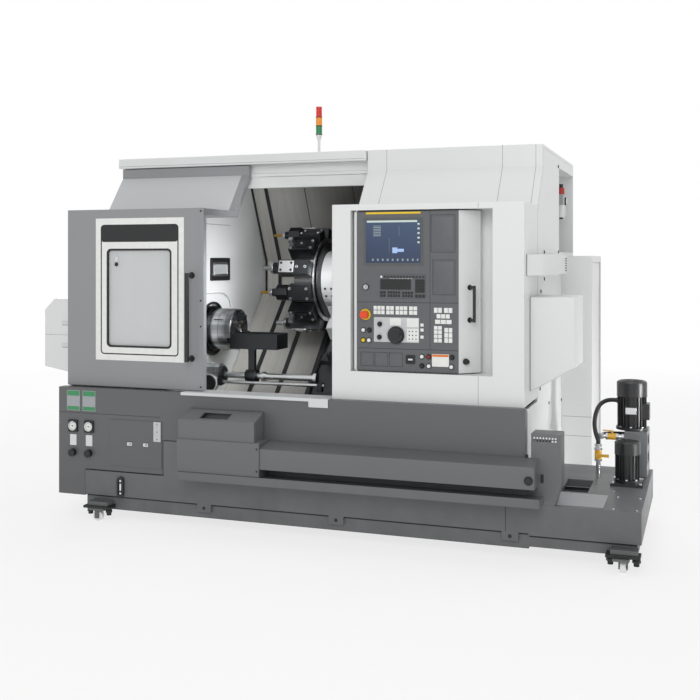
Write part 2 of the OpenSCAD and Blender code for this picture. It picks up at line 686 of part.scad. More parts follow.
module screen() color("#27466e") {
  box(400, 725, face_y - 3, face_y, 1476, 1726);
  box(411, 714, face_y - 4, face_y - 3, 1487, 1715);
}

module keypads() color("white") {
  box(490, 737, face_y - 3, face_y, 1304, 1423);
  for (x = [456, 530, 580, 660]) box(x, x + 40, face_y - 2, face_y, 1209, 1247);
  difference() {
    box(456, 705, face_y - 1, face_y, 1068, 1199);
    cyl_y(face_y - 2, face_y + 1, 44, dial_at[0], dial_at[1]);
    for (c = [knob_1_at, knob_2_at]) cyl_y(face_y - 2, face_y + 1, 16, c[0], c[1]);
  }
  for (z = [1099, 1136, 1162]) box(713, 730, face_y - 2, face_y, z - 8, z + 8);
  for (x = [791, 845], z = [1073, 1120, 1167, 1213]) box(x, x + 46, face_y - 2, face_y, z, z + 38);
  box(634, 683, face_y - 6, face_y, 957, 1002);
  box(775, 864, face_y - 1, face_y, 947, 1012);
}

module push_buttons() color("white") {
  for (b = buttons) {
    cyl_y(face_y - 4, face_y, 14, b[0], b[1]);
    cyl_y(face_y - 10, face_y - 4, 11, b[0], b[1]);
  }
  difference() {
    cyl_y(face_y - 4, face_y, 28, stop_at[0], stop_at[1]);
    cyl_y(face_y - 5, face_y + 1, stop_at[2] + 2, stop_at[0], stop_at[1]);
  }
}

module panel_handle() color("#1b1b1c")
  translate([slope_x + slope_run / 2, panel_y + slope_run / 2, 0]) rotate(-45) {
  cyl_z(1180, 1370, 8, 45, 0);
  for (z = [1190, 1360]) cyl_x(0, 45, 8, 0, z);
}

// A turned control: a head on a stem that sits in the operator face
module control(at, head_r, y0, y1) {
  cyl_y(y0, y1, head_r, at[0], at[1]);
  cyl_y(y1, panel_y + stem_deep - 6, at[2], at[0], at[1]);
}
module e_stop() color("orangered") control(stop_at, 22, face_y - 32, face_y - 13);
module key_switch() color("silver") {
  control(key_at, 13, face_y - 6, face_y - 0.5);
  box(key_at[0] - 2, key_at[0] + 2, face_y - 18, face_y - 6, key_at[1] - 9, key_at[1] + 9);
}
module hand_dial() color("#1b1b1c") {
  control(dial_at, 40, face_y - 22, face_y - 1.5);
  cyl_y(face_y - 40, face_y - 22, 7, dial_at[0] + 24, dial_at[1] + 8);
}
module rotary_knob(at) color("#1b1b1c") {
  control(at, 13, face_y - 10, face_y - 1.5);
  box(at[0] - 4, at[0] + 4, face_y - 18, face_y - 10, at[1] - 13, at[1] + 13);
}
module rotary_knob_1() rotary_knob(knob_1_at);
module rotary_knob_2() rotary_knob(knob_2_at);

bed_casting();
levelling_feet();
front_apron();
access_panel();
chamber_shell();
headstock();
right_cover();
hood();
roof();
enclosure();
cylinder_cover();
cable_duct();
side_box();
rear_cabinet();
air_unit();
signal_pole();
signal_lenses();
parts_box();
conveyor_cover();
tank();
pump_tall();
pump_short();
pump_manifold();
hose_upper();
hose_lower();
pipework();
valves();
gauges();
pressure_knob_1();
pressure_knob_2();
work_light();
catcher_mount();
catcher();
saddle();
cross_slide();
turret_disc();
tool_holders();
cutting_tools();
spindle();
chuck_body();
jaw_1();
jaw_2();
jaw_3();
actuator();
door();
door_window();
door_handle();
panel_box();
panel_face();
screen();
keypads();
push_buttons();
panel_handle();
e_stop();
key_switch();
hand_dial();
rotary_knob_1();
rotary_knob_2();
caster_wheel_1();
caster_wheel_2();
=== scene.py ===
import json
import math

import bmesh
import bpy
from mathutils import Matrix, Vector


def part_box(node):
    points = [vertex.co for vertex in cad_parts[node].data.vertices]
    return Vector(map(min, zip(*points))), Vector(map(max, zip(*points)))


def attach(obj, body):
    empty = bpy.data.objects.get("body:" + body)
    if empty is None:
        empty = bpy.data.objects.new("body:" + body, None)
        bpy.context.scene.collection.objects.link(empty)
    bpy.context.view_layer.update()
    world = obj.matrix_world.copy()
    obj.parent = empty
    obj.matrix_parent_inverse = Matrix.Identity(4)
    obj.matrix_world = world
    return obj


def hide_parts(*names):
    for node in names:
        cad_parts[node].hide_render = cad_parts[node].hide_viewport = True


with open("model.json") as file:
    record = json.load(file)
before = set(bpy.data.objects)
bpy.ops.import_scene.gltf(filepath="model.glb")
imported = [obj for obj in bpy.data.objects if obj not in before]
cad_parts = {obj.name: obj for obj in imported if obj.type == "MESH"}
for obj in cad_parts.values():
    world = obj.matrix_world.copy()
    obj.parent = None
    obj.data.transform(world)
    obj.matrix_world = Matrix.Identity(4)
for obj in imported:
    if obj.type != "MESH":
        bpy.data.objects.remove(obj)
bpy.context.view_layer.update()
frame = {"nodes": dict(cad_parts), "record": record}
scene = bpy.context.scene
scene.view_settings.view_transform = "Standard"
print("frame loaded")

# Camera: level, as high as the display's lower edge, seen from the front right
cameraSet = {"place": (2.134, -5.975, 1.503), "turn": 19.5, "focus": 1011, "image": 700, "horizon": 260,
             "sensor": 36, "reach": 200}


def makeCamera(spec):
    data = bpy.data.cameras.new("camera")
    data.sensor_width = spec["sensor"]
    data.lens = spec["sensor"] * spec["focus"] / spec["image"]
    data.shift_y = (spec["horizon"] - spec["image"] / 2) / spec["image"]
    data.clip_end = spec["reach"]
    camera = bpy.data.objects.new("camera", data)
    camera.location = spec["place"]
    camera.rotation_euler = (math.radians(90), 0, math.radians(spec["turn"]))
    scene.collection.objects.link(camera)
    scene.camera = camera


makeCamera(cameraSet)


# A node of any tree: its settings first, then the values or links of its sockets
def addNode(tree, kind, settings=None, sockets=None):
    made = tree.nodes.new(kind)
    for key, value in (settings or {}).items():
        setattr(made, key, value)
    for key, value in (sockets or {}).items():
        source = getattr(value, "socket", value)
        if isinstance(source, bpy.types.NodeSocket):
            tree.links.new(source, made.inputs[key])
        else:
            made.inputs[key].default_value = source
    return made


# Shader maths: a wrapped socket that adds a Math node for each operator
class Value:
    def __init__(self, finish, socket):
        self.finish = finish
        self.socket = socket

    def math(self, operation, first, second):
        return self.finish.value("ShaderNodeMath", {"operation": operation}, {0: first, 1: second})

    def __add__(self, other):
        return self.math("ADD", self, other)

    def __sub__(self, other):
        return self.math("SUBTRACT", self, other)

    def __rsub__(self, other):
        return self.math("SUBTRACT", other, self)

    def __mul__(self, other):
        return self.math("MULTIPLY", self, other)

    def __truediv__(self, other):
        return self.math("DIVIDE", self, other)

    def __pow__(self, other):
        return self.math("POWER", self, other)

    def __gt__(self, other):
        return self.math("GREATER_THAN", self, other)

    def __lt__(self, other):
        return self.math("LESS_THAN", self, other)

    def __mod__(self, other):
        return self.math("FLOORED_MODULO", self, other)

    __radd__ = __add__
    __rmul__ = __mul__

    def within(self, low, high):
        return (self > low) * (self < high)

    def clamp(self):
        return self.math("MAXIMUM", self.math("MINIMUM", self, 1.0), 0.0)


# One material being wired
class Finish:
    def __init__(self, name):
        self.material = bpy.data.materials.new(name)
        self.material.use_nodes = True
        self.tree = self.material.node_tree
        self.tree.nodes.clear()
        self.place = self.value("ShaderNodeTexCoord", output="Object")
        split = self.node("ShaderNodeSeparateXYZ", {}, {0: self.place})
        self.x, self.y, self.z = (Value(self, s) for s in split.outputs)

    def node(self, kind, settings=None, sockets=None):
        return addNode(self.tree, kind, settings, sockets)

    def value(self, kind, settings=None, sockets=None, output=0):
        return Value(self, self.node(kind, settings, sockets).outputs[output])

    def noise(self, scale, detail=3.0, stretch=(1, 1, 1)):
        mapped = self.value("ShaderNodeMapping", {}, {"Vector": self.place, "Scale": stretch})
        return self.value("ShaderNodeTexNoise", {}, {"Scale": scale, "Detail": detail, "Vector": mapped})

    def lineNoise(self, along, detail):
        return self.value("ShaderNodeTexNoise", {"noise_dimensions": "1D"},
                          {"W": along, "Scale": 1.0, "Detail": detail})

    def mix(self, low, high, factor):
        return self.value("ShaderNodeMix", {"data_type": "RGBA"}, {0: factor, 6: low, 7: high}, 2)

    def surface(self, sockets, bump=None, depth=0.001, strength=0.3):
        if bump is not None:
            sockets["Normal"] = self.value("ShaderNodeBump", {}, {"Strength": strength, "Distance": depth,
                                                                  "Height": bump})
        shader = self.value("ShaderNodeBsdfPrincipled", {}, sockets)
        self.node("ShaderNodeOutputMaterial", {}, {0: shader})
        return self.material


def tint(code, shade=1.0):
    parts = [int(code[i:i + 2], 16) / 255 for i in (1, 3, 5)]
    return tuple(shade * (p / 12.92 if p < 0.04045 else ((p + 0.055) / 1.055) ** 2.4) for p in parts) + (1.0,)


# Powder coat with grime low down; painted light gives one stretch of the part a lighter tone, as if lit from
# above
def paintFinish(name, code, rough=0.36, mottle=0.05, peel=0.25, grime=0.0, paintedLight=None):
    f = Finish(name)
    cloud = f.noise(2.2, 5.0)
    speck = f.noise(60, 2.0)
    skin = f.noise(420, 2.0)
    low = 1 - (f.z / 0.5)
    dirt = low.math("MAXIMUM", low, 0.0) * f.noise(9, 6.0) * grime
    clean = f.mix(tint(code, 1 - mottle), tint(code, 1 + mottle), cloud * 0.7 + speck * 0.3)
    if paintedLight:
        # painted light: a lighter tone inside the lit band
        clean = f.mix(clean, tint(paintedLight["code"]), f.z.within(*paintedLight["z"]) * f.x.within(*paintedLight["x"]))
    colour = f.mix(clean, tint("#3a3835"), dirt)
    return f.surface({"Base Color": colour, "Roughness": rough + (cloud - 0.5) * 0.16 + dirt * 0.3,
                      "Coat Weight": 0.12, "Coat Roughness": 0.2}, skin, 0.0004, peel)


def plasticFinish(name, code, rough=0.5, grain=700, bump=0.3):
    f = Finish(name)
    cloud = f.noise(30, 3.0)
    skin = f.noise(grain, 2.0)
    colour = f.mix(tint(code, 0.9), tint(code, 1.08), cloud)
    return f.surface({"Base Color": colour, "Roughness": rough + (skin - 0.5) * 0.15}, skin, 0.0003, bump)


def steelFinish(name, code, rough=0.3, stretch=(3, 260, 260)):
    f = Finish(name)
    grain = f.noise(6, 4.0, stretch)
    cloud = f.noise(8, 3.0)
    colour = f.mix(tint(code, 0.82), tint(code, 1.1), grain * 0.6 + cloud * 0.4)
    return f.surface({"Base Color": colour, "Roughness": rough + (grain - 0.5) * 0.22 + (cloud - 0.5) * 0.1,
                      "Metallic": 1.0}, grain, 0.0002, 0.25)


# Faces turned on a lathe: fine rings about an axis along X, and painted reflection in bright and dark bands
# round the axis
def turnedFinish(name, code, axis, rough=0.26):
    f = Finish(name)
    y, z = f.y - axis[0], f.z - axis[1]
    ring = f.lineNoise((y * y + z * z) ** 0.5 * 900, 3.0)
    cloud = f.noise(14, 3.0)
    # painted reflection: bands that turn bright and dark with the angle round the axis, over a near-black
    # tone
    reflectionSweep = f.lineNoise(y.math("ARCTAN2", y, z) * 1.9, 2.0)
    paintedSheen = (reflectionSweep - 0.5) * 3.4 + 0.5
    bright = f.mix(tint(code, 0.8), tint(code, 1.1), ring * 0.5 + cloud * 0.5)
    colour = f.mix(tint(code, 0.2), bright, paintedSheen.clamp())
    return f.surface({"Base Color": colour, "Roughness": rough + (ring - 0.5) * 0.2, "Metallic": 1.0},
                     ring, 0.0002, 0.3)


# Chamber: white left wall and sill, grey sheet elsewhere that darkens away from the lamp
chamberShade = {"wall": -0.7885, "sill": -0.772, "from": -0.75, "over": 0.95}


def chamberFinish(spec):
    f = Finish("chamberPaint")
    cloud = f.noise(3, 4.0)
    streak = f.noise(5, 3.0, (9, 1, 0.4))
    white = f.mix(tint("#cfd2d3"), tint("#d8dadb"), cloud)
    inside = (f.x > spec["wall"]) * (f.y > spec["sill"])
    # painted shade: the sheet darkens with distance along X from the lamp
    depth = ((f.x - spec["from"]) / spec["over"]).clamp()
    sheet = f.mix(f.mix(tint("#b9b7b2"), tint("#d4d2cd"), streak), tint("#1d1e1f"), depth)
    colour = f.mix(white, sheet, inside)
    return f.surface({"Base Color": colour, "Roughness": 0.34 + (cloud - 0.5) * 0.12,
                      "Metallic": inside * 0.35}, f.noise(300, 2.0), 0.0003, 0.2)


# Door glass: the pane's light grey colour is painted reflection of the bright surroundings; smears vary it
# and its roughness
def glassFinish(name):
    f = Finish(name)
    smear = f.noise(7, 4.0, (1, 1, 0.3))
    colour = f.mix(tint("#d6d9da"), tint("#e4e6e6"), smear)
    return f.surface({"Base Color": colour, "Roughness": 0.06 + smear * 0.12, "Alpha": 0.62, "IOR": 1.5})


# The display: a lit picture of plain bars and lines inside a dark bezel
displaySet = {"x0": 0.411, "x1": 0.714, "z0": 1.487, "z1": 1.715, "glow": 0.16}


def displayFinish(spec):
    f = Finish("displayGlass")
    u = (f.x - spec["x0"]) / (spec["x1"] - spec["x0"])
    v = (f.z - spec["z0"]) / (spec["z1"] - spec["z0"])
    lit = u.within(0.0, 1.0) * v.within(0.0, 1.0)
    page = f.mix(tint("#26344f"), tint("#3d4f6b"), v * 0.7 + u * 0.2)
    heading = v.within(0.945, 0.99) * u.within(0.02, 0.94)
    table = u.within(0.14, 0.28) * v.within(0.62, 0.87) * ((v * 26) % 1.0).within(0.25, 0.72)
    icons = u.within(0.945, 0.985) * v.within(0.4, 0.92) * ((v * 9.4) % 1.0).within(0.3, 0.68)
    keys = v.within(0.05, 0.10) * u.within(0.06, 0.96) * ((u * 11) % 1.0).within(0.3, 0.62)
    bar = u.within(0.49, 0.58) * v.within(0.23, 0.36) + u.within(0.58, 0.70) * v.within(0.26, 0.33)
    frameLines = u.within(0.43, 0.436) * v.within(0.25, 0.58) + u.within(0.61, 0.616) * v.within(0.62, 0.86)
    drawn = f.mix(page, tint("#9db8e4"), bar)
    marks = heading * 0.7 + table * 0.3 + icons * 0.7 + keys * 0.35 + frameLines * 0.16
    lined = f.mix(drawn, tint("#d9e8dc"), marks)
    colour = f.mix(tint("#565755"), lined, lit)
    glow = f.mix((0, 0, 0, 1), lined, lit)
    return f.surface({"Base Color": colour, "Roughness": 0.16 + f.noise(40, 2.0) * 0.06,
                      "Emission Color": glow, "Emission Strength": spec["glow"]})


# Stacked lenses, green below, amber, red on top, each with fine ribs
lensSet = {"z0": 2.300, "step": 0.055, "ribs": 320, "glow": 0.12}


def lensFinish(spec):
    f = Finish("towerLens")
    level = (f.z - spec["z0"]) / spec["step"]
    lower = f.mix(tint("#1f7a46"), tint("#e08a1c"), level > 1.0)
    colour = f.mix(lower, tint("#c8201c"), level > 2.0)
    rib = ((f.z * spec["ribs"]) % 1.0 - 0.5) ** 2.0
    return f.surface({"Base Color": colour, "Roughness": 0.2 + f.noise(50, 2.0) * 0.08,
                      "Emission Color": colour, "Emission Strength": spec["glow"]}, rib, 0.002, 0.5)


def glowFinish(name, code, strength):
    f = Finish(name)
    colour = f.mix(tint(code, 0.9), tint(code), f.noise(90, 1.0))
    return f.surface({"Base Color": colour, "Roughness": 0.3, "Emission Color": colour,
                      "Emission Strength": strength})


# Axes that run along X, as y and z: the spindle's, the turret's and the catcher shaft's
spindleAxis = (-0.300, 1.075)
turretAxis = (0.004, 1.379)
catcherAxis = (-0.62, 0.83)

# painted light: the door's slanted canopy band is painted lighter, as if lit from above
canopyPaintedLight = {"x": (-2.0, -0.600), "z": (1.8005, 2.0280), "code": "#bfc1c3"}
whitePaint = paintFinish("whitePowderCoat", "#dddede", 0.34, 0.025)
lightPaint = paintFinish("palePaint", "#cfd2d3", 0.4, 0.05)
chamberPaint = chamberFinish(chamberShade)
doorPaint = paintFinish("doorPowderCoat", "#8b8d8f", 0.38, 0.04, paintedLight=canopyPaintedLight)
darkPaint = paintFinish("basePowderCoat", "#5c5d5f", 0.42, 0.06, 0.25, 0.5)
tankPaint = paintFinish("tankPowderCoat", "#646668", 0.45, 0.08, 0.3, 0.7)
ironPaint = paintFinish("bedCasting", "#3c3e40", 0.5, 0.12, 0.6)
housingPaint = paintFinish("turretHousing", "#c3c6c7", 0.38, 0.05)
motorPaint = paintFinish("motorEnamel", "#1d1e20", 0.33, 0.1)
yellowPaint = paintFinish("valveEnamel", "#d3a22b", 0.35, 0.08)
panelPlastic = plasticFinish("operatorFace", "#5a5c5f", 0.5, 900)
blackPlastic = plasticFinish("blackMoulding", "#161718", 0.42)
darkPlastic = plasticFinish("darkKey", "#2c2e30", 0.5)
whitePlastic = plasticFinish("whiteKey", "#e4e5e3", 0.4)
redPlastic = plasticFinish("redKey", "#7a1f1c", 0.35)
stopPlastic = plasticFinish("stopHead", "#e2491c", 0.3)
yellowPlastic = plasticFinish("yellowRing", "#e8c21d", 0.38)
orangePlastic = plasticFinish("orangeField", "#d9782a", 0.45)
greenPlastic = plasticFinish("greenField", "#3d8a5a", 0.45)
lightPlate = plasticFinish("lightPlate", "#9ea1a4", 0.45)
# Dark joints and gaps; also painted shade and shadow, under the tank's step and in the drive cover's holes
seamShadow = plasticFinish("gapAndShadow", "#2a2b2c", 0.8)
paleSeam = plasticFinish("paleGap", "#8d9091", 0.7)
controlPlate = plasticFinish("controlPlate", "#c2c4c6", 0.45)
fittingRed = plasticFinish("regulatorKnob", "#b3261c", 0.35)
rubber = plasticFinish("hoseRubber", "#17181a", 0.55, 400)
steel = steelFinish("groundSteel", "#c2c4c6", 0.28)
brightSteel = steelFinish("silverPlate", "#d6d8d9", 0.34)
blackSteel = steelFinish("blackenedSteel", "#3a3c3e", 0.4, (40, 40, 40))
brass = steelFinish("drillCoating", "#c9973a", 0.3)
chuckSteel = turnedFinish("turnedChuck", "#d2d4d6", spindleAxis)
turretSteel = turnedFinish("turnedTurret", "#c4c6c8", turretAxis)
windowGlass = glassFinish("doorGlass")
lampGlass = glowFinish("workLampGlass", "#9da1a3", 0.12)
displayGlass = displayFinish(displaySet)
towerLens = lensFinish(lensSet)
print("finishes made")

# Nodes of the frame: a finish for each material slot, some nodes with their own, and edge widths in metres
slotFinish = {"white_paint": whitePaint, "light_paint": lightPaint, "grey_paint": doorPaint,
              "dark_paint": darkPaint, "cast_iron": ironPaint, "housing_paint": housingPaint, "steel": steel,
              "black_steel": blackSteel, "motor_paint": motorPaint, "black_plastic": blackPlastic,
              "white_plastic": whitePlastic, "panel_grey": panelPlastic, "screen_glass": displayGlass,
              "window_glass": windowGlass, "stop_red": stopPlastic, "lens": towerLens,
              "valve_yellow": yellowPaint, "rubber": rubber}
nodeFinish = {"chamber_shell": chamberPaint, "catcher_mount": steel, "chuck_body": chuckSteel,
              "spindle": blackSteel, "turret_disc": turretSteel, "tank": tankPaint, "parts_box": tankPaint,
              "conveyor_cover": tankPaint, "pump_manifold": tankPaint, "rear_cabinet": whitePaint}
edgeNodes = {0.001: ("panel_face",), 0.0012: ("jaw_1", "jaw_2", "jaw_3"),
             0.0015: ("access_panel", "rotary_knob_1", "rotary_knob_2"),
             0.002: ("chuck_body", "catcher", "pressure_knob_1", "pressure_knob_2"),
             0.003: ("enclosure", "chamber_shell", "saddle", "turret_disc", "tool_holders", "hand_dial",
                     "work_light"),
             0.004: ("door", "right_cover", "hood", "roof", "front_apron", "conveyor_cover", "tank",
                     "panel_box", "cross_slide", "pump_manifold", "e_stop", "caster_wheel_1",
                     "caster_wheel_2", "headstock"),
             0.005: ("cylinder_cover", "rear_cabinet", "parts_box"), 0.006: ("cable_duct", "side_box")}


def softEdge(piece, width, angle=None):
    edge = piece.modifiers.new("edge", "BEVEL")
    edge.width = width
    edge.segments = 2
    if angle:
        edge.limit_method = "ANGLE"
        edge.angle_limit = math.radians(angle)
    return edge


def dressNodes():
    widths = {node: width for width, nodes in edgeNodes.items() for node in nodes}
    for part in frame["record"]["subparts"]:
        name = part["node"]
        node = frame["nodes"][name]
        node.data.materials.clear()
        node.data.materials.append(nodeFinish.get(name, slotFinish[part["material_slot"]]))
        if name in widths:
            weld = node.modifiers.new("weld", "WELD")
            weld.merge_threshold = 0.00002
            softEdge(node, widths[name], 38).harden_normals = True


dressNodes()
print("nodes dressed")

# Faces of the machine: across, up and out
facing = {"front": ((1, 0, 0), (0, 0, 1), (0, -1, 0)), "right": ((0, 1, 0), (0, 0, 1), (1, 0, 0)),
          "left": ((0, 1, 0), (0, 0, 1), (-1, 0, 0)), "back": ((1, 0, 0), (0, 0, 1), (0, 1, 0)),
          "top": ((1, 0, 0), (0, 1, 0), (0, 0, 1))}


def faceFrame(face, level):
    across, up, out = (Vector(v) for v in facing[face])
    turn = Matrix((across, up, out)).transposed().to_4x4()
    return Matrix.Translation(Vector([abs(c) * level for c in out])) @ turn


def polar(u, v, r, angle):
    return (u + r * math.cos(angle), v + r * math.sin(angle))


def circle(u, v, r, steps=32, start=0.0):
    return [polar(u, v, r, start + i * 2 * math.pi / steps) for i in range(steps)]


# Areas are u0, u1, v0, v1 on a face
def roundRect(u0, u1, v0, v1, r, steps=4):
    corners = ((u1 - r, v0 + r, -90), (u1 - r, v1 - r, 0), (u0 + r, v1 - r, 90), (u0 + r, v0 + r, 180))
    return [polar(u, v, r, math.radians(start + 90 * i / steps))
            for u, v, start in corners for i in range(steps + 1)]


def grow(area, by):
    return (area[0] - by, area[1] + by, area[2] - by, area[3] + by)


def around(u, v, wide, tall):
    return (u - wide, u + wide, v - tall, v + tall)


# One piece of the scene, gathered from small closed solids; low and high are depths out of the face it is on
class Piece:
    def __init__(self, name):
        self.name = name
        self.mesh = bmesh.new()
        self.finishes = []

    def on(self, face, level=0.0):
        self.place = face if isinstance(face, Matrix) else faceFrame(face, level)
        return self

    def skin(self, loops, finish, closed=True):
        if finish not in self.finishes:
            self.finishes.append(finish)
        index = self.finishes.index(finish)
        rings = [[self.mesh.verts.new(p) for p in loop] for loop in loops]
        count = len(rings[0])
        pairs = list(zip(rings, rings[1:])) + ([] if closed else [(rings[-1], rings[0])])
        for a, b in pairs:
            for i in range(count):
                j = (i + 1) % count
                self.mesh.faces.new((a[i], a[j], b[j], b[i])).material_index = index
        if closed:
            self.mesh.faces.new(rings[0]).material_index = index
            self.mesh.faces.new(rings[-1]).material_index = index
        return self

    # An outline pushed out of the face; slope draws its last part in
    def prism(self, outline, low, high, finish, slope=0.0):
        mid = [sum(p[k] for p in outline) / len(outline) for k in (0, 1)]

        def layer(depth, scale=1.0):
            return [self.place @ Vector((mid[0] + (u - mid[0]) * scale, mid[1] + (v - mid[1]) * scale, depth))
                    for u, v in outline]

        if slope:
            return self.skin([layer(low), layer(low + (high - low) * 0.6), layer(high, 1 - slope)], finish)
        return self.skin([layer(low), layer(high)], finish)

    def plate(self, area, radius, low, high, finish, slope=0.0):
        return self.prism(roundRect(*area, radius), low, high, finish, slope)

    def disc(self, centre, radius, low, high, finish, slope=0.0, sides=32):
        return self.prism(circle(*centre, radius, sides), low, high, finish, slope)

    def line(self, area, high, finish, low=0.0):
        u0, u1, v0, v1 = area
        return self.prism([(u0, v0), (u1, v0), (u1, v1), (u0, v1)], low, high, finish)

    def ring(self, outer, inner, low, high, finish):
        loops = [[self.place @ Vector((u, v, d)) for u, v in line]
                 for line, d in ((outer, low), (outer, high), (inner, high), (inner, low))]
        return self.skin(loops, finish, closed=False)

    def rim(self, area, radius, inside, insideRadius, low, high, finish):
        return self.ring(roundRect(*area, radius), roundRect(*inside, insideRadius), low, high, finish)

    def hoop(self, centre, outer, inner, low, high, finish, sides=32):
        return self.ring(circle(*centre, outer, sides), circle(*centre, inner, sides), low, high, finish)

    def box(self, low, high, finish):
        corners = [(low[0], low[2]), (high[0], low[2]), (high[0], high[2]), (low[0], high[2])]
        return self.skin([[(x, y, z) for x, z in corners] for y in (high[1], low[1])], finish)

    def tube(self, points, radius, finish, sides=10):
        line = [Vector(p) for p in points]
        loops = []
        side = None
        for i, p in enumerate(line):
            ahead = (line[min(i + 1, len(line) - 1)] - line[max(i - 1, 0)]).normalized()
            if side is None:
                side = Vector((0, 0, 1)) if abs(ahead.z) < 0.9 else Vector((1, 0, 0))
            side = (side - ahead * side.dot(ahead)).normalized()
            up = ahead.cross(side)
            loops.append([p + a * side + b * up for a, b in circle(0, 0, radius, sides)])
        return self.skin(loops, finish)

    def done(self, body, slot, replaced=(), bevel=0.0):
        bmesh.ops.recalc_face_normals(self.mesh, faces=self.mesh.faces)
        data = bpy.data.meshes.new(self.name)
        self.mesh.to_mesh(data)
        self.mesh.free()
        for finish in self.finishes:
            data.materials.append(finish)
        piece = bpy.data.objects.new(self.name, data)
        scene.collection.objects.link(piece)
        for face in data.polygons:
            face.use_smooth = True
        data.set_sharp_from_angle(angle=math.radians(35))
        if bevel:
            softEdge(piece, bevel, 40)
        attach(piece, body)
        if replaced:
            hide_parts(*replaced)


# Cords: the two coolant hoses, along the same points as their solids
hoseSet = {
    "hoseUpper": {"node": "hose_upper", "across": 0.024, "lay": "hanging",
                  "line": [(1.640, 0, 0.700), (1.615, 0, 0.700), (1.592, -0.008, 0.698),
                           (1.571, -0.020, 0.690), (1.554, -0.034, 0.677), (1.542, -0.050, 0.659),
                           (1.534, -0.066, 0.638), (1.529, -0.082, 0.615), (1.527, -0.097, 0.591),
                           (1.528, -0.110, 0.567), (1.532, -0.122, 0.543), (1.538, -0.133, 0.522),
                           (1.545, -0.142, 0.504), (1.552, -0.150, 0.488), (1.552, -0.150, 0.470)]},
    "hoseLower": {"node": "hose_lower", "across": 0.018, "lay": "loose",
                  "line": [(1.690, 0.040, 0.505), (1.676, 0.040, 0.505), (1.663, 0.040, 0.505),
                           (1.650, 0.040, 0.505), (1.634, 0.038, 0.505), (1.619, 0.034, 0.505),
                           (1.605, 0.028, 0.505), (1.593, 0.020, 0.505), (1.582, 0.010, 0.505),
                           (1.573, -0.002, 0.505), (1.566, -0.016, 0.505), (1.562, -0.031, 0.505),
                           (1.560, -0.046, 0.505), (1.560, -0.058, 0.505), (1.560, -0.070, 0.505)]},
}


def makeHose(name, spec):
    data = bpy.data.curves.new(name, "CURVE")
    data.dimensions = "3D"
    data.bevel_depth = spec["across"] / 2
    data.bevel_resolution = 5
    data.resolution_u = 8
    data.use_fill_caps = True
    line = data.splines.new("BEZIER")
    line.bezier_points.add(len(spec["line"]) - 1)
    for point, place in zip(line.bezier_points, spec["line"]):
        point.co = place
        point.handle_left_type = point.handle_right_type = "AUTO"
    data.materials.append(rubber)
    hose = bpy.data.objects.new(name, data)
    scene.collection.objects.link(hose)
    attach(hose, "root")
    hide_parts(spec["node"])


for hoseName, hoseSpec in hoseSet.items():
    makeHose(hoseName, hoseSpec)
print("hoses laid")


# Geometry Nodes: a small shape repeated on a grid or round a circle
def newTree(name, inputs):
    tree = bpy.data.node_groups.new(name, "GeometryNodeTree")
    tree.interface.new_socket("Geometry", in_out="OUTPUT", socket_type="NodeSocketGeometry")
    for label, kind in inputs.items():
        tree.interface.new_socket(label, in_out="INPUT", socket_type=f"NodeSocket{kind}")
    return tree, tree.nodes.new("NodeGroupInput").outputs


def finishTree(tree, copied, finish):
    copies = addNode(tree, "GeometryNodeInstanceOnPoints", {}, copied)
    real = addNode(tree, "GeometryNodeRealizeInstances", {}, {0: copies.outputs[0]})
    painted = addNode(tree, "GeometryNodeSetMaterial", {}, {"Geometry": real.outputs[0], "Material": finish})
    addNode(tree, "NodeGroupOutput", {}, {0: painted.outputs[0]})
    return tree


# Keys, slats, slots and screws in rows; sizes are across, up and out of the face
def gridTree(name, isRound):
    inputs = {"Columns": "Int", "Rows": "Int", "Width": "Float", "Height": "Float", "Finish": "Material"}
    inputs.update({"Radius": "Float", "Depth": "Float", "Sides": "Int"} if isRound else {"Size": "Vector"})
    tree, given = newTree(name, inputs)
    grid = addNode(tree, "GeometryNodeMeshGrid", {}, {"Size X": given["Width"], "Size Y": given["Height"],
                                                      "Vertices X": given["Columns"],
                                                      "Vertices Y": given["Rows"]})
    if isRound:
        shape = addNode(tree, "GeometryNodeMeshCylinder", {}, {"Vertices": given["Sides"],
                                                               "Radius": given["Radius"],
                                                               "Depth": given["Depth"]})
    else:
        shape = addNode(tree, "GeometryNodeMeshCube", {}, {"Size": given["Size"]})
    copied = {"Points": grid.outputs["Mesh"], "Instance": shape.outputs["Mesh"]}
    return finishTree(tree, copied, given["Finish"])


# Bolts, ticks and ribs round a circle, each turned outwards
def circleTree(name):
    tree, given = newTree(name, {"Count": "Int", "Radius": "Float", "Size": "Vector", "Finish": "Material"})
    line = addNode(tree, "GeometryNodeMeshCircle", {}, {"Vertices": given["Count"],
                                                        "Radius": given["Radius"]})
    shape = addNode(tree, "GeometryNodeMeshCube", {}, {"Size": given["Size"]})
    where = addNode(tree, "GeometryNodeInputPosition")
    turn = addNode(tree, "FunctionNodeAlignRotationToVector", {"axis": "X"}, {"Vector": where.outputs[0]})
    copied = {"Points": line.outputs["Mesh"], "Instance": shape.outputs["Mesh"], "Rotation": turn.outputs[0]}
    return finishTree(tree, copied, given["Finish"])


blockGrid = gridTree("blockGrid", False)
roundGrid = gridTree("roundGrid", True)
markCircle = circleTree("markCircle")


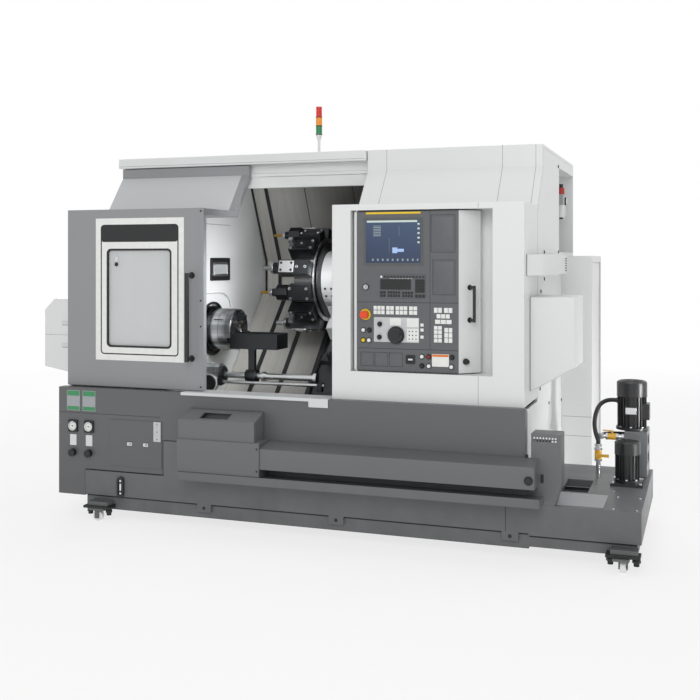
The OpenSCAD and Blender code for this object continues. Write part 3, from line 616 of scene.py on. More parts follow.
# centre is that of the whole pattern on the face, depth is how far its shapes stand out
def growPiece(name, tree, values, face, level, centre, depth, body, bevel):
    piece = bpy.data.objects.new(name, bpy.data.meshes.new(name))
    scene.collection.objects.link(piece)
    grown = piece.modifiers.new("grow", "NODES")
    grown.node_group = tree
    ids = {s.name: s.identifier for s in tree.interface.items_tree if s.in_out == "INPUT"}
    for key, value in values.items():
        grown[ids[key]] = value
    ready = piece.evaluated_get(bpy.context.evaluated_depsgraph_get())
    mesh = bpy.data.meshes.new_from_object(ready)
    piece.modifiers.remove(grown)
    mesh.transform(faceFrame(face, level) @ Matrix.Translation((*centre, depth / 2)))
    piece.data = mesh
    if bevel:
        softEdge(piece, bevel)
    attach(piece, body)


# Rows in an area, which runs from centre to centre of the outer shapes
def growRows(name, tree, values, face, level, area, counts, depth, body, bevel):
    u0, u1, v0, v1 = area
    values.update({"Columns": counts[0], "Rows": counts[1], "Width": u1 - u0, "Height": v1 - v0})
    centre = ((u0 + u1) / 2, (v0 + v1) / 2)
    growPiece(name, tree, values, face, level, centre, depth, body, bevel)


def blockRows(name, face, level, area, counts, size, finish, body, bevel=0.0):
    values = {"Size": size, "Finish": finish}
    growRows(name, blockGrid, values, face, level, area, counts, size[2], body, bevel)


def screwRows(name, face, level, area, counts, radius, finish, body, depth=0.003, sides=14):
    values = {"Radius": radius, "Depth": depth, "Sides": sides, "Finish": finish}
    growRows(name, roundGrid, values, face, level, area, counts, depth, body, radius * 0.15)


def circleMarks(name, face, level, centre, count, radius, size, finish, body,
                bevel=0.0):
    values = {"Count": count, "Radius": radius, "Size": size, "Finish": finish}
    growPiece(name, markCircle, values, face, level, centre, size[2], body, bevel)


# Door: white surround with a dark line and header, gasket, lock, screws on the closing edge
doorSet = {"plate": (-1.255, -0.673, 0.919, 1.746), "window": (-1.177, -0.756, 0.999, 1.565),
           "line": (-1.221, -0.707, 0.953, 1.709), "header": 1.608, "lineWide": 0.007, "lineHigh": 0.0006,
           "thick": 0.0015, "lock": (-1.120, 1.478), "hasp": (-1.128, -1.112, 1.492, 1.522),
           "seam": (-0.584, -0.582, 0.766, 1.796), "strip": (0.003, 0.035, 0.768, 1.755),
           "studs": ((-0.622, 0.945), (-0.622, 1.416)),
           "screws": {"doorScrewsOuter": (-0.566, -0.566, 0.785, 1.780),
                      "doorScrewsInner": (-0.566, -0.566, 1.127, 1.273)}}


def makeDoor(spec):
    low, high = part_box("door")
    front = low.y
    window = spec["window"]
    inner = grow(spec["line"], -spec["lineWide"])
    thick, over = spec["thick"], spec["thick"] + spec["lineHigh"]
    door = Piece("doorSurround").on("front", front)
    door.rim(spec["plate"], 0.004, window, 0.024, 0.0, thick, whitePlastic)
    door.rim(spec["line"], 0.022, inner, 0.016, thick, over, seamShadow)
    door.plate((inner[0], inner[1], spec["header"], inner[3]), 0.012, thick, over, seamShadow)
    door.done("door", "white_plastic")
    gasket = Piece("windowGasket").on("front", front)
    gasket.rim(grow(window, 0.004), 0.026, grow(window, -0.007), 0.018, -0.008, 0.003, rubber)
    gasket.disc(spec["lock"], 0.011, -0.008, 0.002, blackPlastic, 0.2)
    gasket.plate(spec["hasp"], 0.003, -0.008, -0.004, brightSteel)
    gasket.done("door", "black_plastic", bevel=0.001)
    edge = Piece("doorEdge").on("front", front).line(spec["seam"], 0.0004, paleSeam)
    y0, y1, z0, z1 = spec["strip"]
    edge.on("right", high.x).line((front + y0, front + y1, z0, z1), 0.0006, lightPlate)
    edge.on("front", front)
    for stud in spec["studs"]:
        edge.disc(stud, 0.019, 0.0, 0.005, blackPlastic, 0.15, 24)
    edge.done("door", "grey_paint")
    for name, area in spec["screws"].items():
        screwRows(name, "front", front, area, (1, 2), 0.0055, blackPlastic, "door")


makeDoor(doorSet)
print("door trimmed")


# A block of keys on the operator panel that fills an area, with a gap between keys
def keyBlock(name, level, area, counts, gap, depth, finish, slot):
    wide = (area[1] - area[0] - gap * (counts[0] - 1)) / counts[0]
    tall = (area[3] - area[2] - gap * (counts[1] - 1)) / counts[1]
    middle = (area[0] + wide / 2, area[1] - wide / 2, area[2] + tall / 2, area[3] - tall / 2)
    blockRows(name, "front", level, middle, counts, (wide, tall, depth), finish, "panel", 0.0006)


# Keyboard: wells for the two main blocks; keys are area, counts, gap and the height they stand on
boardSet = {"plate": (0.486, 0.741, 1.300, 1.427), "high": 0.003, "lamp": (0.498, 1.414),
            "wells": ((0.492, 0.662, 1.346, 1.402), (0.684, 0.737, 1.330, 1.402)), "wellHigh": 0.0006,
            "topKeys": ((0.512, 0.735, 1.408, 1.420), (13, 1), 0.005),
            "topMarks": ((0.546, 0.668, 1.4045, 1.4065), (8, 1), 0.007),
            "keys": {"letterKeys": ((0.495, 0.659, 1.349, 1.399), (9, 4), 0.0035, 0.0006),
                     "numberKeys": ((0.687, 0.734, 1.333, 1.399), (3, 5), 0.0035, 0.0006),
                     "arrowKeys": ((0.492, 0.522, 1.307, 1.338), (2, 2), 0.004, 0.0),
                     "pageKeys": ((0.534, 0.602, 1.307, 1.338), (5, 2), 0.004, 0.0),
                     "shiftKeys": ((0.614, 0.672, 1.307, 1.336), (4, 2), 0.004, 0.0),
                     "enterKeys": ((0.684, 0.737, 1.305, 1.322), (3, 1), 0.004, 0.0)}}


def makeBoard(spec, front):
    high = spec["high"]
    board = Piece("keyBoard").on("front", front)
    board.plate(spec["plate"], 0.006, 0.0, high, panelPlastic, 0.01)
    for well in spec["wells"]:
        board.plate(well, 0.003, high, high + spec["wellHigh"], darkPlastic)
    board.disc(spec["lamp"], 0.006, high, 0.006, whitePlastic, 0.2, 20)
    board.done("panel", "panel_grey", bevel=0.0006)
    top = front - high
    keyBlock("topKeys", top, *spec["topKeys"], 0.003, darkPlastic, "black_plastic")
    keyBlock("topMarks", top, *spec["topMarks"], 0.0006, whitePlastic, "white_plastic")
    for name, (area, counts, gap, lift) in spec["keys"].items():
        keyBlock(name, top - lift, area, counts, gap, 0.003, blackPlastic, "black_plastic")


# Operator panel: areas are x0, x1, z0, z1 on the operator face; white keys end in columns and rows
panelSet = {
    "strip": (0.411, 0.714, 1.747, 1.757), "seamUp": (0.763, 0.765, 1.033, 1.760), "seams": (1.279, 1.033),
    "blanks": ((0.770, 0.898, 1.544, 1.738), (0.780, 0.898, 1.322, 1.503)),
    "covers": ((0.383, 0.452, 0.939, 1.011), (0.462, 0.532, 0.939, 1.011), (0.542, 0.614, 0.939, 1.011)),
    "plate": (0.456, 0.705, 1.068, 1.199),
    "fields": ((0.545, 0.606, 1.157, 1.196), (0.639, 0.702, 1.151, 1.196), (0.639, 0.702, 1.074, 1.140)),
    "socket": (0.634, 0.683, 0.957, 1.002), "socketBar": (0.646, 0.671, 0.975, 0.984),
    "note": (0.775, 0.866, 0.947, 1.012), "noteBand": (0.777, 0.864, 0.998, 1.010),
    "dial": (0.579, 1.106), "key": (0.411, 1.359), "keyPlate": (0.383, 0.437, 1.313, 1.389),
    "whiteKeys": {"modeKeys": ((0.4545, 0.5155, 1.215, 1.259, 3, 2), (0.525, 0.567, 1.215, 1.259, 2, 2),
                               (0.577, 0.641, 1.215, 1.259, 3, 2), (0.651, 0.695, 1.215, 1.259, 2, 2)),
                  "sideKeys": ((0.786, 0.828, 1.228, 1.254, 2, 1), (0.840, 0.884, 1.228, 1.254, 2, 1),
                               (0.800, 0.870, 1.199, 1.221, 3, 1), (0.792, 0.880, 1.170, 1.192, 3, 1),
                               (0.786, 0.828, 1.073, 1.159, 2, 4), (0.842, 0.884, 1.073, 1.150, 2, 3)),
                  "jogKey": ((0.713, 0.730, 1.091, 1.107, 1, 1), (0.713, 0.730, 1.128, 1.144, 1, 1),
                             (0.713, 0.730, 1.154, 1.170, 1, 1))},
}


def makePanel(spec):
    low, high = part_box("panel_face")
    front = low.y
    dial, socket = spec["dial"], spec["socket"]
    face = Piece("panelLines").on("front", front).line(spec["seamUp"], 0.0004, seamShadow)
    for z in spec["seams"]:
        face.line((low.x, high.x, z - 0.0012, z + 0.0012), 0.0004, seamShadow)
    for area in spec["blanks"] + spec["covers"]:
        face.rim(grow(area, 0.0015), 0.003, area, 0.002, -0.001, 0.0004, seamShadow)
    for area in spec["blanks"]:
        face.plate(grow(area, -0.010), 0.004, -0.002, -0.0005, panelPlastic, 0.02)
    face.plate(spec["strip"], 0.001, 0.0, 0.002, yellowPlastic)
    face.done("panel", "panel_grey")
    makeBoard(boardSet, front)
    plates = Piece("controlPlates").on("front", front)
    plates.plate(spec["plate"], 0.003, 0.0, 0.001, controlPlate)
    plates.hoop(dial, 0.047, 0.041, 0.001, 0.003, darkPlastic, 48)
    for area in spec["fields"]:
        plates.plate(area, 0.003, 0.001, 0.0018, whitePlastic)
    plates.plate(spec["note"], 0.002, 0.0, 0.001, whitePlastic)
    plates.plate(spec["noteBand"], 0.001, 0.001, 0.0014, orangePlastic)
    plates.plate(spec["keyPlate"], 0.004, 0.0, 0.0008, panelPlastic)
    plates.hoop(spec["key"], 0.0175, 0.0135, 0.0008, 0.005, blackPlastic)
    plates.rim(socket, 0.004, grow(socket, -0.008), 0.003, 0.0, 0.007, blackPlastic)
    plates.plate(grow(socket, -0.008), 0.003, 0.0, 0.003, seamShadow)
    plates.plate(spec["socketBar"], 0.001, 0.003, 0.005, brightSteel)
    plates.done("panel", "white_plastic", ("keypads",), bevel=0.0004)
    for group, blocks in spec["whiteKeys"].items():
        for i, (*area, columns, rows) in enumerate(blocks):
            keyBlock(f"{group}{i}", front, area, (columns, rows), 0.003, 0.003, whitePlastic, "white_plastic")
    dots = grow(spec["fields"][2], -0.013)
    screwRows("fieldDots", "front", front - 0.0018, dots, (3, 3), 0.0035, darkPlastic, "panel",
              0.0006)
    circleMarks("dialTicks", "front", front - 0.001, dial, 50, 0.0505, (0.004, 0.0009, 0.0005), darkPlastic,
                "panel")
    circleMarks("dialGrip", "front", front - 0.004, dial, 36, 0.0395, (0.003, 0.0022, 0.014), blackPlastic,
                "hand_dial")
    dialFace = Piece("dialFace").on("front", front - 0.022)
    dialFace.hoop(dial, 0.034, 0.030, 0.0, 0.0012, darkPlastic, 40)
    dialFace.done("hand_dial", "black_plastic", bevel=0.0004)


# Button caps, emergency stop, port low on the panel's slanted edge and the feet of its handle
capFinish = {"white": whitePlastic, "black": blackPlastic, "yellow": yellowPlastic, "red": redPlastic}
buttonSet = {
    "caps": ((0.397, 1.129, "white"), (0.431, 1.129, "black"), (0.397, 1.075, "yellow"),
             (0.429, 1.075, "white"), (0.721, 0.997, "white"), (0.758, 0.997, "red"),
             (0.721, 0.948, "black"), (0.758, 0.948, "white"), (0.882, 0.997, "black"),
             (0.879, 0.948, "white")),
    "stop": (0.408, 1.212), "port": ((0.944, -0.820, 0.975), (0.953, -0.829, 0.975), (0.962, -0.838, 0.975)),
    "foot": ((0.9631, -0.8011), (0.9660, -0.8040)), "footZ": (1.190, 1.360),
}


def makeButtons(spec):
    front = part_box("panel_face")[0].y
    stop = spec["stop"]
    buttons = Piece("buttonCaps").on("front", front)
    for x, z, colour in spec["caps"]:
        buttons.hoop((x, z), 0.014, 0.0112, 0.0, 0.0045, blackPlastic, 28)
        buttons.disc((x, z), 0.0105, 0.0, 0.010, capFinish[colour], 0.22, 28)
    buttons.hoop(stop, 0.030, 0.0125, 0.0, 0.003, yellowPlastic, 40)
    buttons.hoop(stop, 0.020, 0.0125, 0.003, 0.0065, blackPlastic)
    buttons.done("panel", "white_plastic", ("push_buttons",), bevel=0.0005)
    dish = Piece("stopDish").on("front", front - 0.032).hoop(stop, 0.016, 0.012, 0.0, 0.0012, stopPlastic)
    dish.done("e_stop", "stop_red", bevel=0.0005)
    port = Piece("sidePort")
    port.tube(spec["port"][:2], 0.016, darkPlastic, 24)
    port.tube(spec["port"][1:], 0.0125, blackPlastic, 24)
    for z in spec["footZ"]:
        port.tube([(x, y, z) for x, y in spec["foot"]], 0.014, blackPlastic, 24)
    port.done("panel", "black_plastic", bevel=0.001)


makePanel(panelSet)
makeButtons(buttonSet)
print("panel fitted")

# Apron: gauges, bare plates with bands, seams, latches; level gauge on the tank
apronSet = {"gaugeX": (-1.375, -1.267), "gaugeZ": 0.532, "knobZ": 0.377,
            "needle": ((-0.016, 0.004), (0.006, -0.004), (0.007, -0.0015)),
            "plates": ((-1.420, -1.331, 0.622, 0.740), (-1.313, -1.225, 0.622, 0.740)),
            "bands": ((0.708, 0.737), (0.625, 0.646)), "seam": (-1.474, -0.800, 0.6078, 0.6102),
            "grooves": ((-0.781, -0.776, 0.283, 0.479), (-0.776, -0.690, 0.4775, 0.4825),
                        (-1.2945, -1.2905, 0.140, 0.283)),
            "lock": (-0.838, -0.792, 0.470, 0.582),
            "lockDots": ((-0.815, 0.485), (-0.815, 0.526), (-0.815, 0.568)),
            "latches": ((-0.994, 0.447), (-0.889, 0.447)), "level": (-1.051, 0.197),
            "levelDots": (0.161, 0.233),
            "grips": {"knobGripLeft": "pressure_knob_1", "knobGripRight": "pressure_knob_2"}}


def makeGauges(spec, front):
    gauges = Piece("pressureGauges").on("front", front)
    z = spec["gaugeZ"]
    for x in spec["gaugeX"]:
        bezel, opening = around(x, z, 0.031, 0.035), around(x, z, 0.026, 0.026)
        gauges.rim(bezel, 0.004, opening, 0.0255, 0.0, 0.010, blackPlastic)
        gauges.hoop((x, z), 0.027, 0.0235, 0.006, 0.014, brightSteel, 40)
        gauges.disc((x, z), 0.0235, 0.004, 0.0105, whitePlastic, sides=40)
        gauges.prism([(x + u, z + v) for u, v in spec["needle"]], 0.0105, 0.0115, blackPlastic)
        gauges.disc((x, z), 0.0035, 0.0105, 0.0125, blackPlastic, sides=16)
        gauges.plate(around(x, z - 0.082, 0.022, 0.032), 0.002, 0.0, 0.003, brightSteel)
        gauges.disc((x, spec["knobZ"]), 0.006, 0.0, 0.020, steel, sides=20)
    x, z = spec["level"]
    slot = roundRect(*around(x, z, 0.012, 0.046), 0.0115, 8)
    gauges.on("front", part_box("parts_box")[1].y)
    gauges.ring(roundRect(*around(x, z, 0.022, 0.060), 0.0215, 8), slot, 0.0, 0.012, blackPlastic)
    gauges.prism(slot, 0.0, 0.006, darkPlastic)
    gauges.plate(around(x, z, 0.005, 0.020), 0.002, 0.006, 0.008, whitePlastic)
    for dot in spec["levelDots"]:
        gauges.disc((x, dot), 0.006, 0.006, 0.009, whitePlastic, sides=16)
    gauges.done("root", "black_plastic", ("gauges",), bevel=0.0008)
    for i, x in enumerate(spec["gaugeX"]):
        circleMarks(f"gaugeTicks{i}", "front", front - 0.0105, (x, spec["gaugeZ"]), 24, 0.0195,
                    (0.004, 0.0008, 0.0006), blackPlastic, "root")


def makeApron(spec):
    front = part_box("front_apron")[0].y
    makeGauges(spec, front)
    trim = Piece("apronPlates").on("front", front)
    for area in spec["plates"]:
        trim.plate(area, 0.002, 0.0, 0.0012, lightPlate)
        for band in spec["bands"]:
            trim.plate((area[0] + 0.003, area[1] - 0.003, *band), 0.001, 0.0012, 0.0016, greenPlastic)
    trim.line(spec["seam"], 0.0005, seamShadow)
    for groove in spec["grooves"]:
        trim.line(groove, 0.0006, seamShadow)
    trim.on("front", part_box("access_panel")[0].y)
    trim.plate(spec["lock"], 0.002, 0.0, 0.0015, controlPlate)
    for dot in spec["lockDots"]:
        trim.disc(dot, 0.003, 0.0015, 0.0025, darkPlastic, sides=12)
    for x, z in spec["latches"]:
        trim.plate(around(x, z, 0.0165, 0.0095), 0.002, -0.0005, 0.0015, brightSteel)
        trim.plate(around(x + 0.004, z, 0.008, 0.005), 0.002, 0.0015, 0.0025, lightPlate)
    trim.done("root", "dark_paint", bevel=0.0004)
    for (name, body), x in zip(spec["grips"].items(), spec["gaugeX"]):
        circleMarks(name, "front", front - 0.004, (x, spec["knobZ"]), 20, 0.0208, (0.002, 0.0026, 0.018),
                    blackPlastic, body)


makeApron(apronSet)
print("apron fitted")

# The bed's own frame: x along the bed, v up the slant, n square to it
slantSet = {"y": 0.31518, "z": 1.06793, "turn": 45, "turret": 0.440, "stations": 12}
slantFrame = (Matrix.Translation((0, slantSet["y"], slantSet["z"]))
              @ Matrix.Rotation(math.radians(slantSet["turn"]), 4, "X"))
turretFrame = slantFrame @ Matrix.Translation((0, 0, slantSet["turret"]))

# Chamber: lamp lens, pipe on the left wall, gaps in the back wall, telescopic way cover with wipers
chamberSet = {"wall": -0.790, "lens": (-0.304, -0.106, 1.400, 1.490), "nose": (0.168, 0.1555),
              "flange": (0.074, 0.0668), "groove": (-0.60, -0.05, 1.725, 1.729),
              "pipe": ((-0.60, 1.300), (-0.20, 1.300), (-0.15, 1.293), (-0.10, 1.272), (-0.065, 1.240),
                       (-0.05, 1.20)),
              "backLine": ((0.5052, 1.26), (0.5022, 1.26), (0.5022, 1.494), (0.2523, 1.9985), (0.2550, 2.0),
                           (0.5052, 1.495)),
              "gaps": ((-0.788, 0.016), (-0.690, 0.026), (-0.400, 0.004), (-0.060, 0.004)),
              "cap": (-0.612, 0.786), "capRadius": 0.046, "capFace": -0.681,
              "covers": ((-0.785, -0.590, 0.044), (-0.590, -0.395, 0.050), (-0.395, -0.192, 0.056)),
              "coverRise": (-0.800, 0.250), "coverThick": 0.003}


def makeChamber(spec):
    wall, lens = spec["wall"], spec["lens"]
    lamp = Piece("workLampLens").on("right", wall + 0.010)
    lamp.rim(lens, 0.006, grow(lens, -0.014), 0.004, 0.0, 0.004, brightSteel)
    lamp.plate(grow(lens, -0.014), 0.004, 0.0, 0.002, lampGlass)
    lamp.done("root", "black_plastic", bevel=0.001)
    pipes = Piece("wallFittings").on("right", wall)
    pipes.tube([(wall + 0.007, y, z) for y, z in spec["pipe"]], 0.007, lightPaint)
    pipes.hoop(spindleAxis, *spec["nose"], 0.0, 0.012, blackSteel, 48)
    flange = [circle(*catcherAxis, radius, 8, math.pi / 8) for radius in spec["flange"]]
    pipes.ring(*flange, 0.0, 0.008, darkPlastic)
    pipes.line(spec["groove"], 0.001, paleSeam)
    cap, radius = spec["cap"], spec["capRadius"]
    pipes.on("front", spec["capFace"]).disc(cap, radius, -0.02, 0.016, blackPlastic, 0.08, 40)
    pipes.hoop(cap, radius + 0.007, radius + 0.0005, -0.02, 0.010, housingPaint, 40)
    for x, wide in spec["gaps"]:
        pipes.on("right", x).prism(spec["backLine"], 0.0, wide, seamShadow)
    pipes.done("root", "light_paint", bevel=0.001)
    # the way cover takes the chamber's finish, so its sheet carries the same painted shade, darker away from
    # the lamp
    cover = Piece("wayCover").on(slantFrame)
    low, high = spec["coverRise"]
    for x0, x1, top in spec["covers"]:
        end, under = x1 - 0.002, top - spec["coverThick"]
        cover.prism(roundRect(x0, end, low, high, 0.004, 2), under, top, chamberPaint)
        cover.prism(roundRect(x0, end, low, low + spec["coverThick"], 0.001, 1), 0.0, under, chamberPaint)
        wiper = roundRect(x1 - 0.030, end, low + 0.004, high - 0.004, 0.003, 2)
        cover.prism(wiper, top, top + 0.008, rubber)
    cover.done("root", "housing_paint", bevel=0.0015)


# Collars on the catcher's shaft and the thin rod below it with its two holders
catcherSet = {"bore": 0.0185,
              "collars": ((-0.560, 0.050, 0.016, blackPlastic), (-0.544, 0.032, 0.010, blackSteel),
                          (-0.300, 0.028, 0.018, steel)),
              "rod": ((-0.53, -0.665, 0.795), (0.10, -0.665, 0.795)), "rodRadius": 0.010,
              "holders": (((0.06, -0.680, 0.760), (0.09, -0.650, 0.810)),
                          ((-0.56, -0.685, 0.775), (-0.53, -0.645, 0.815)))}


def makeCatcherEnd(spec):
    end = Piece("catcherEnd")
    for x, radius, long, finish in spec["collars"]:
        end.on("right", x).hoop(catcherAxis, radius, spec["bore"], 0.0, long, finish)
    end.tube(spec["rod"], spec["rodRadius"], steel, 14)
    for low, high in spec["holders"]:
        end.box(low, high, blackSteel)
    end.done("root", "housing_paint", bevel=0.001)


makeChamber(chamberSet)
makeCatcherEnd(catcherSet)
print("chamber fitted")

# Turret: cap screws, clamp plates and nuts on the holders; x runs along the turret's axis
turretSet = {"order": ("turning", "boring", "driven"),
             "turning": {"top": 0.310, "screws": ((-0.285, 0.030), (-0.155, 0.030)),
                         "clamp": (-0.250, -0.185, -0.022, 0.022), "clampHigh": 0.010, "clampScrew": -0.2175},
             "boring": {"top": 0.326, "plate": (-0.330, -0.235, -0.036, 0.036), "plateHigh": 0.006,
                        "capScrews": (-0.215, -0.160), "nose": (-0.390, 0, 0.286), "nut": (0.0365, 0.0145)},
             "driven": {"top": 0.310, "screws": ((-0.265, 0.032), (-0.155, 0.032)),
                        "nose": (-0.400, 0, 0.290), "nut": (0.0255, 0.0075),
                        "drill": (0.0082, 0.0072, 0.003, 0.064)},
             "rim": (0.262, 0.236, 0.127, 0.134)}
endTurn = Matrix(((0, 0, -1), (1, 0, 0), (0, 1, 0))).to_4x4()


def raised(place, by):
    return place @ Matrix.Translation((0, 0, by))


def screwHead(piece, place, centre, radius, high, finish):
    piece.on(place).hoop(centre, radius, radius * 0.5, 0.0, high, finish, 16)
    piece.disc(centre, radius * 0.5, 0.0, high * 0.45, seamShadow, sides=6)


def makeTurret(spec):
    trim = Piece("holderFittings")
    stations = slantSet["stations"]
    for i in range(stations):
        station = turretFrame @ Matrix.Rotation(2 * math.pi * i / stations, 4, "X")
        part = spec[spec["order"][i % len(spec["order"])]]
        place = raised(station, part["top"])
        for x, y in part.get("screws", ()):
            for side in (-y, y):
                screwHead(trim, place, (x, side), 0.0085, 0.007, steel)
        if "clamp" in part:
            high = part["clampHigh"]
            trim.on(place).plate(part["clamp"], 0.004, 0.0, high, blackSteel, 0.06)
            screwHead(trim, raised(place, high), (part["clampScrew"], 0.0), 0.007, 0.005, steel)
        if "plate" in part:
            high = part["plateHigh"]
            trim.on(place).plate(part["plate"], 0.004, 0.0, high, brightSteel)
            x0, x1, y0, y1 = grow(part["plate"], -0.014)
            for corner in ((x0, y0), (x0, y1), (x1, y0), (x1, y1)):
                screwHead(trim, raised(place, high), corner, 0.008, 0.004, blackSteel)
            for x in part["capScrews"]:
                screwHead(trim, place, (x, 0.0), 0.009, 0.006, steel)
        if "nose" in part:
            trim.on(station @ Matrix.Translation(part["nose"]) @ endTurn)
            trim.hoop((0, 0), *part["nut"], -0.014, 0.003, steel, 24)
        if "drill" in part:
            trim.hoop((0, 0), *part["drill"], brass, 16)
    trim.on(turretFrame @ endTurn).hoop((0, 0), *spec["rim"], steel, 96)
    trim.done("turret", "black_steel", bevel=0.0008)


# Turret housing: screws on its round front, a joint line, and a black ring behind the disc as painted shade
# in the gap between disc and housing
housingSet = {"radius": 0.180, "screwX": (-0.085, -0.045), "turns": (62, 78), "lineTurn": 97,
              "line": (-0.110, 0.250, -0.002, 0.002), "ring": (0.232, 0.075, -0.121, -0.111)}


def makeHousing(spec):
    trim = Piece("housingFittings")

    def side(turn):
        return raised(turretFrame @ Matrix.Rotation(math.radians(turn), 4, "X"), spec["radius"])

    for turn in spec["turns"]:
        for x in spec["screwX"]:
            screwHead(trim, side(turn), (x, 0.0), 0.008, 0.003, blackSteel)
    trim.on(side(spec["lineTurn"])).line(spec["line"], 0.0012, seamShadow, -0.001)
    # painted shade: a black ring in the gap behind the turret disc
    trim.on(turretFrame @ faceFrame("right", 0.0)).hoop((0, 0), *spec["ring"], blackPlastic, 64)
    trim.done("cross_slide", "housing_paint", bevel=0.0006)


makeTurret(turretSet)
makeHousing(housingSet)

# Chuck: turned bands, face screws, grooves and jaw screws; jaw screws are x and radius
chuckSet = {"face": -0.605, "radius": 0.127, "bands": (-0.742, -0.690, -0.640), "mouth": (0.0385, 0.0325),
            "screwCircle": 0.092, "spread": 0.16, "grooves": (-0.72, -0.66), "jawTurns": (0, 120, 240),
            "jawScrews": ((-0.560, 0.072), (-0.580, 0.0965))}


def makeChuck(spec):
    trim = Piece("chuckTrim")
    radius = spec["radius"]
    for x in spec["bands"]:
        trim.on("right", x).hoop(spindleAxis, radius + 0.0004, radius - 0.001, 0.0, 0.0022, seamShadow, 64)
    trim.on("right", spec["face"]).hoop(spindleAxis, *spec["mouth"], 0.0, 0.003, blackSteel, 48)
    face = faceFrame("right", spec["face"])
    for k in range(6):
        for spread in (-spec["spread"], spec["spread"]):
            if k % 2 == 0 or spread > 0:
                spot = polar(*spindleAxis, spec["screwCircle"], math.radians(30 + 60 * k) + spread)
                screwHead(trim, face, spot, 0.0075, 0.002, blackSteel)
    for k in range(3):
        y, z = polar(*spindleAxis, radius, math.radians(30 + 120 * k))
        trim.tube([(x, y, z) for x in spec["grooves"]], 0.003, seamShadow, 8)
    trim.done("spindle", "steel", bevel=0.0005)
    for number, turn in enumerate(spec["jawTurns"], 1):
        jaw = Piece(f"jawScrews{number}")
        for x, out in spec["jawScrews"]:
            spot = polar(*spindleAxis, out, math.radians(90 + turn))
            screwHead(jaw, faceFrame("right", x), spot, 0.0065, 0.003, blackSteel)
        jaw.done(f"jaw_{number}", "black_steel", bevel=0.0004)


makeChuck(chuckSet)
print("turret and chuck fitted")

# Sheet-metal joints, screws and vents on the enclosure; screws on the right wall are y and z
bodySet = {"hoodSeams": (0.345, 1.033, 1.222), "hoodLine": ((-0.4556, 1.8004), (-0.2754, 2.0294)),
           "hoodLineIn": ((-0.2740, 2.0290), (-0.4545, 1.7996)), "bandSeam": (-1.468, 0.221, 2.105, 2.107),
           "coverSeams": ((1.0235, 1.0255, 0.760, 0.908), (1.0235, 1.0255, 1.770, 1.798)),
           "wallScrews": ((0.340, 2.080), (0.340, 1.552), (-0.228, 1.548), (-0.228, 1.396), (-0.350, 1.330),
                          (0.472, 0.624), (-0.383, 0.795), (-0.057, 0.675)),
           "backDoors": ((-1.300, -0.480, 0.250, 1.980), (-0.440, 0.380, 0.250, 1.980),
                         (0.420, 1.180, 0.250, 1.480)),
           "backHandle": (0.075, 0.045, 1.00, 1.12), "leftScrews": (0.100, 0.960, 0.290, 1.950),
           "leftFrames": ((0.080, 0.980, 0.260, 1.980), (-0.780, -0.600, 0.260, 1.600))}


def makeSheets(spec):
    low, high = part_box("enclosure")
    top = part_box("hood")[1].z
    seams = Piece("sheetSeams")
    outer, inner = spec["hoodLine"], spec["hoodLineIn"]
    profile = [*outer, (outer[1][0], top), (inner[0][0], top), *inner]
    for x in spec["hoodSeams"]:
        seams.on("right", x).prism(profile, 0.0, 0.0022, paleSeam)
    seams.on("front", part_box("right_cover")[0].y)
    for area in spec["coverSeams"]:
        seams.line(area, 0.0004, paleSeam)
    seams.on("front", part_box("roof")[0].y).line(spec["bandSeam"], 0.0004, paleSeam)
    seams.on("left", low.x)
    for area in spec["leftFrames"]:
        seams.rim(area, 0.008, grow(area, -0.0025), 0.006, 0.0, 0.0005, paleSeam)
    seams.on("back", high.y)
    near, far, z0, z1 = spec["backHandle"]
    for area in spec["backDoors"]:
        seams.rim(area, 0.008, grow(area, -0.003), 0.006, 0.0, 0.0006, paleSeam)
        seams.plate((area[1] - near, area[1] - far, z0, z1), 0.006, 0.0, 0.006, blackPlastic)
    seams.done("root", "white_paint")
    screws = Piece("wallScrews").on("right", high.x)
    for spot in spec["wallScrews"]:
        screws.disc(spot, 0.010, 0.0, 0.004, blackPlastic, 0.2, 20)
    screws.done("root", "black_plastic", bevel=0.0006)
    for i, (x0, x1, z0, z1) in enumerate(spec["backDoors"]):
        blockRows(f"backVents{i}", "back", high.y, (x0 + 0.30, x1 - 0.30, z0 + 0.12, z0 + 0.42), (1, 12),
                  (x1 - x0 - 0.30, 0.010, 0.006), paleSeam, "root", 0.002)
        corners = (x0 + 0.02, x1 - 0.02, z0 + 0.03, z1 - 0.03)
        screwRows(f"backScrews{i}", "back", high.y, corners, (2, 4), 0.006, blackPlastic, "root")
    screwRows("leftScrews", "left", low.x, spec["leftScrews"], (2, 4), 0.006, blackPlastic, "root")


# Rear cabinet's plates, louvres on the cylinder cover, slots in the cable duct
cabinetSet = {"front": (1.266, 1.445, 0.215, 0.605), "frontHigh": 0.003, "seams": (0.398, 0.519),
              "side": (0.575, 0.985, 1.332, 1.480), "sideIn": 0.008,
              "coverSeam": (-1.826, -1.470, 1.031, 1.033),
              "louvres": ((-1.705, -1.535, 0.955, 0.979), (-1.705, -1.535, 1.095, 1.119)),
              "slots": (0.124, 0.124, 1.440, 1.512), "slotSize": (0.050, 0.006, 0.002)}


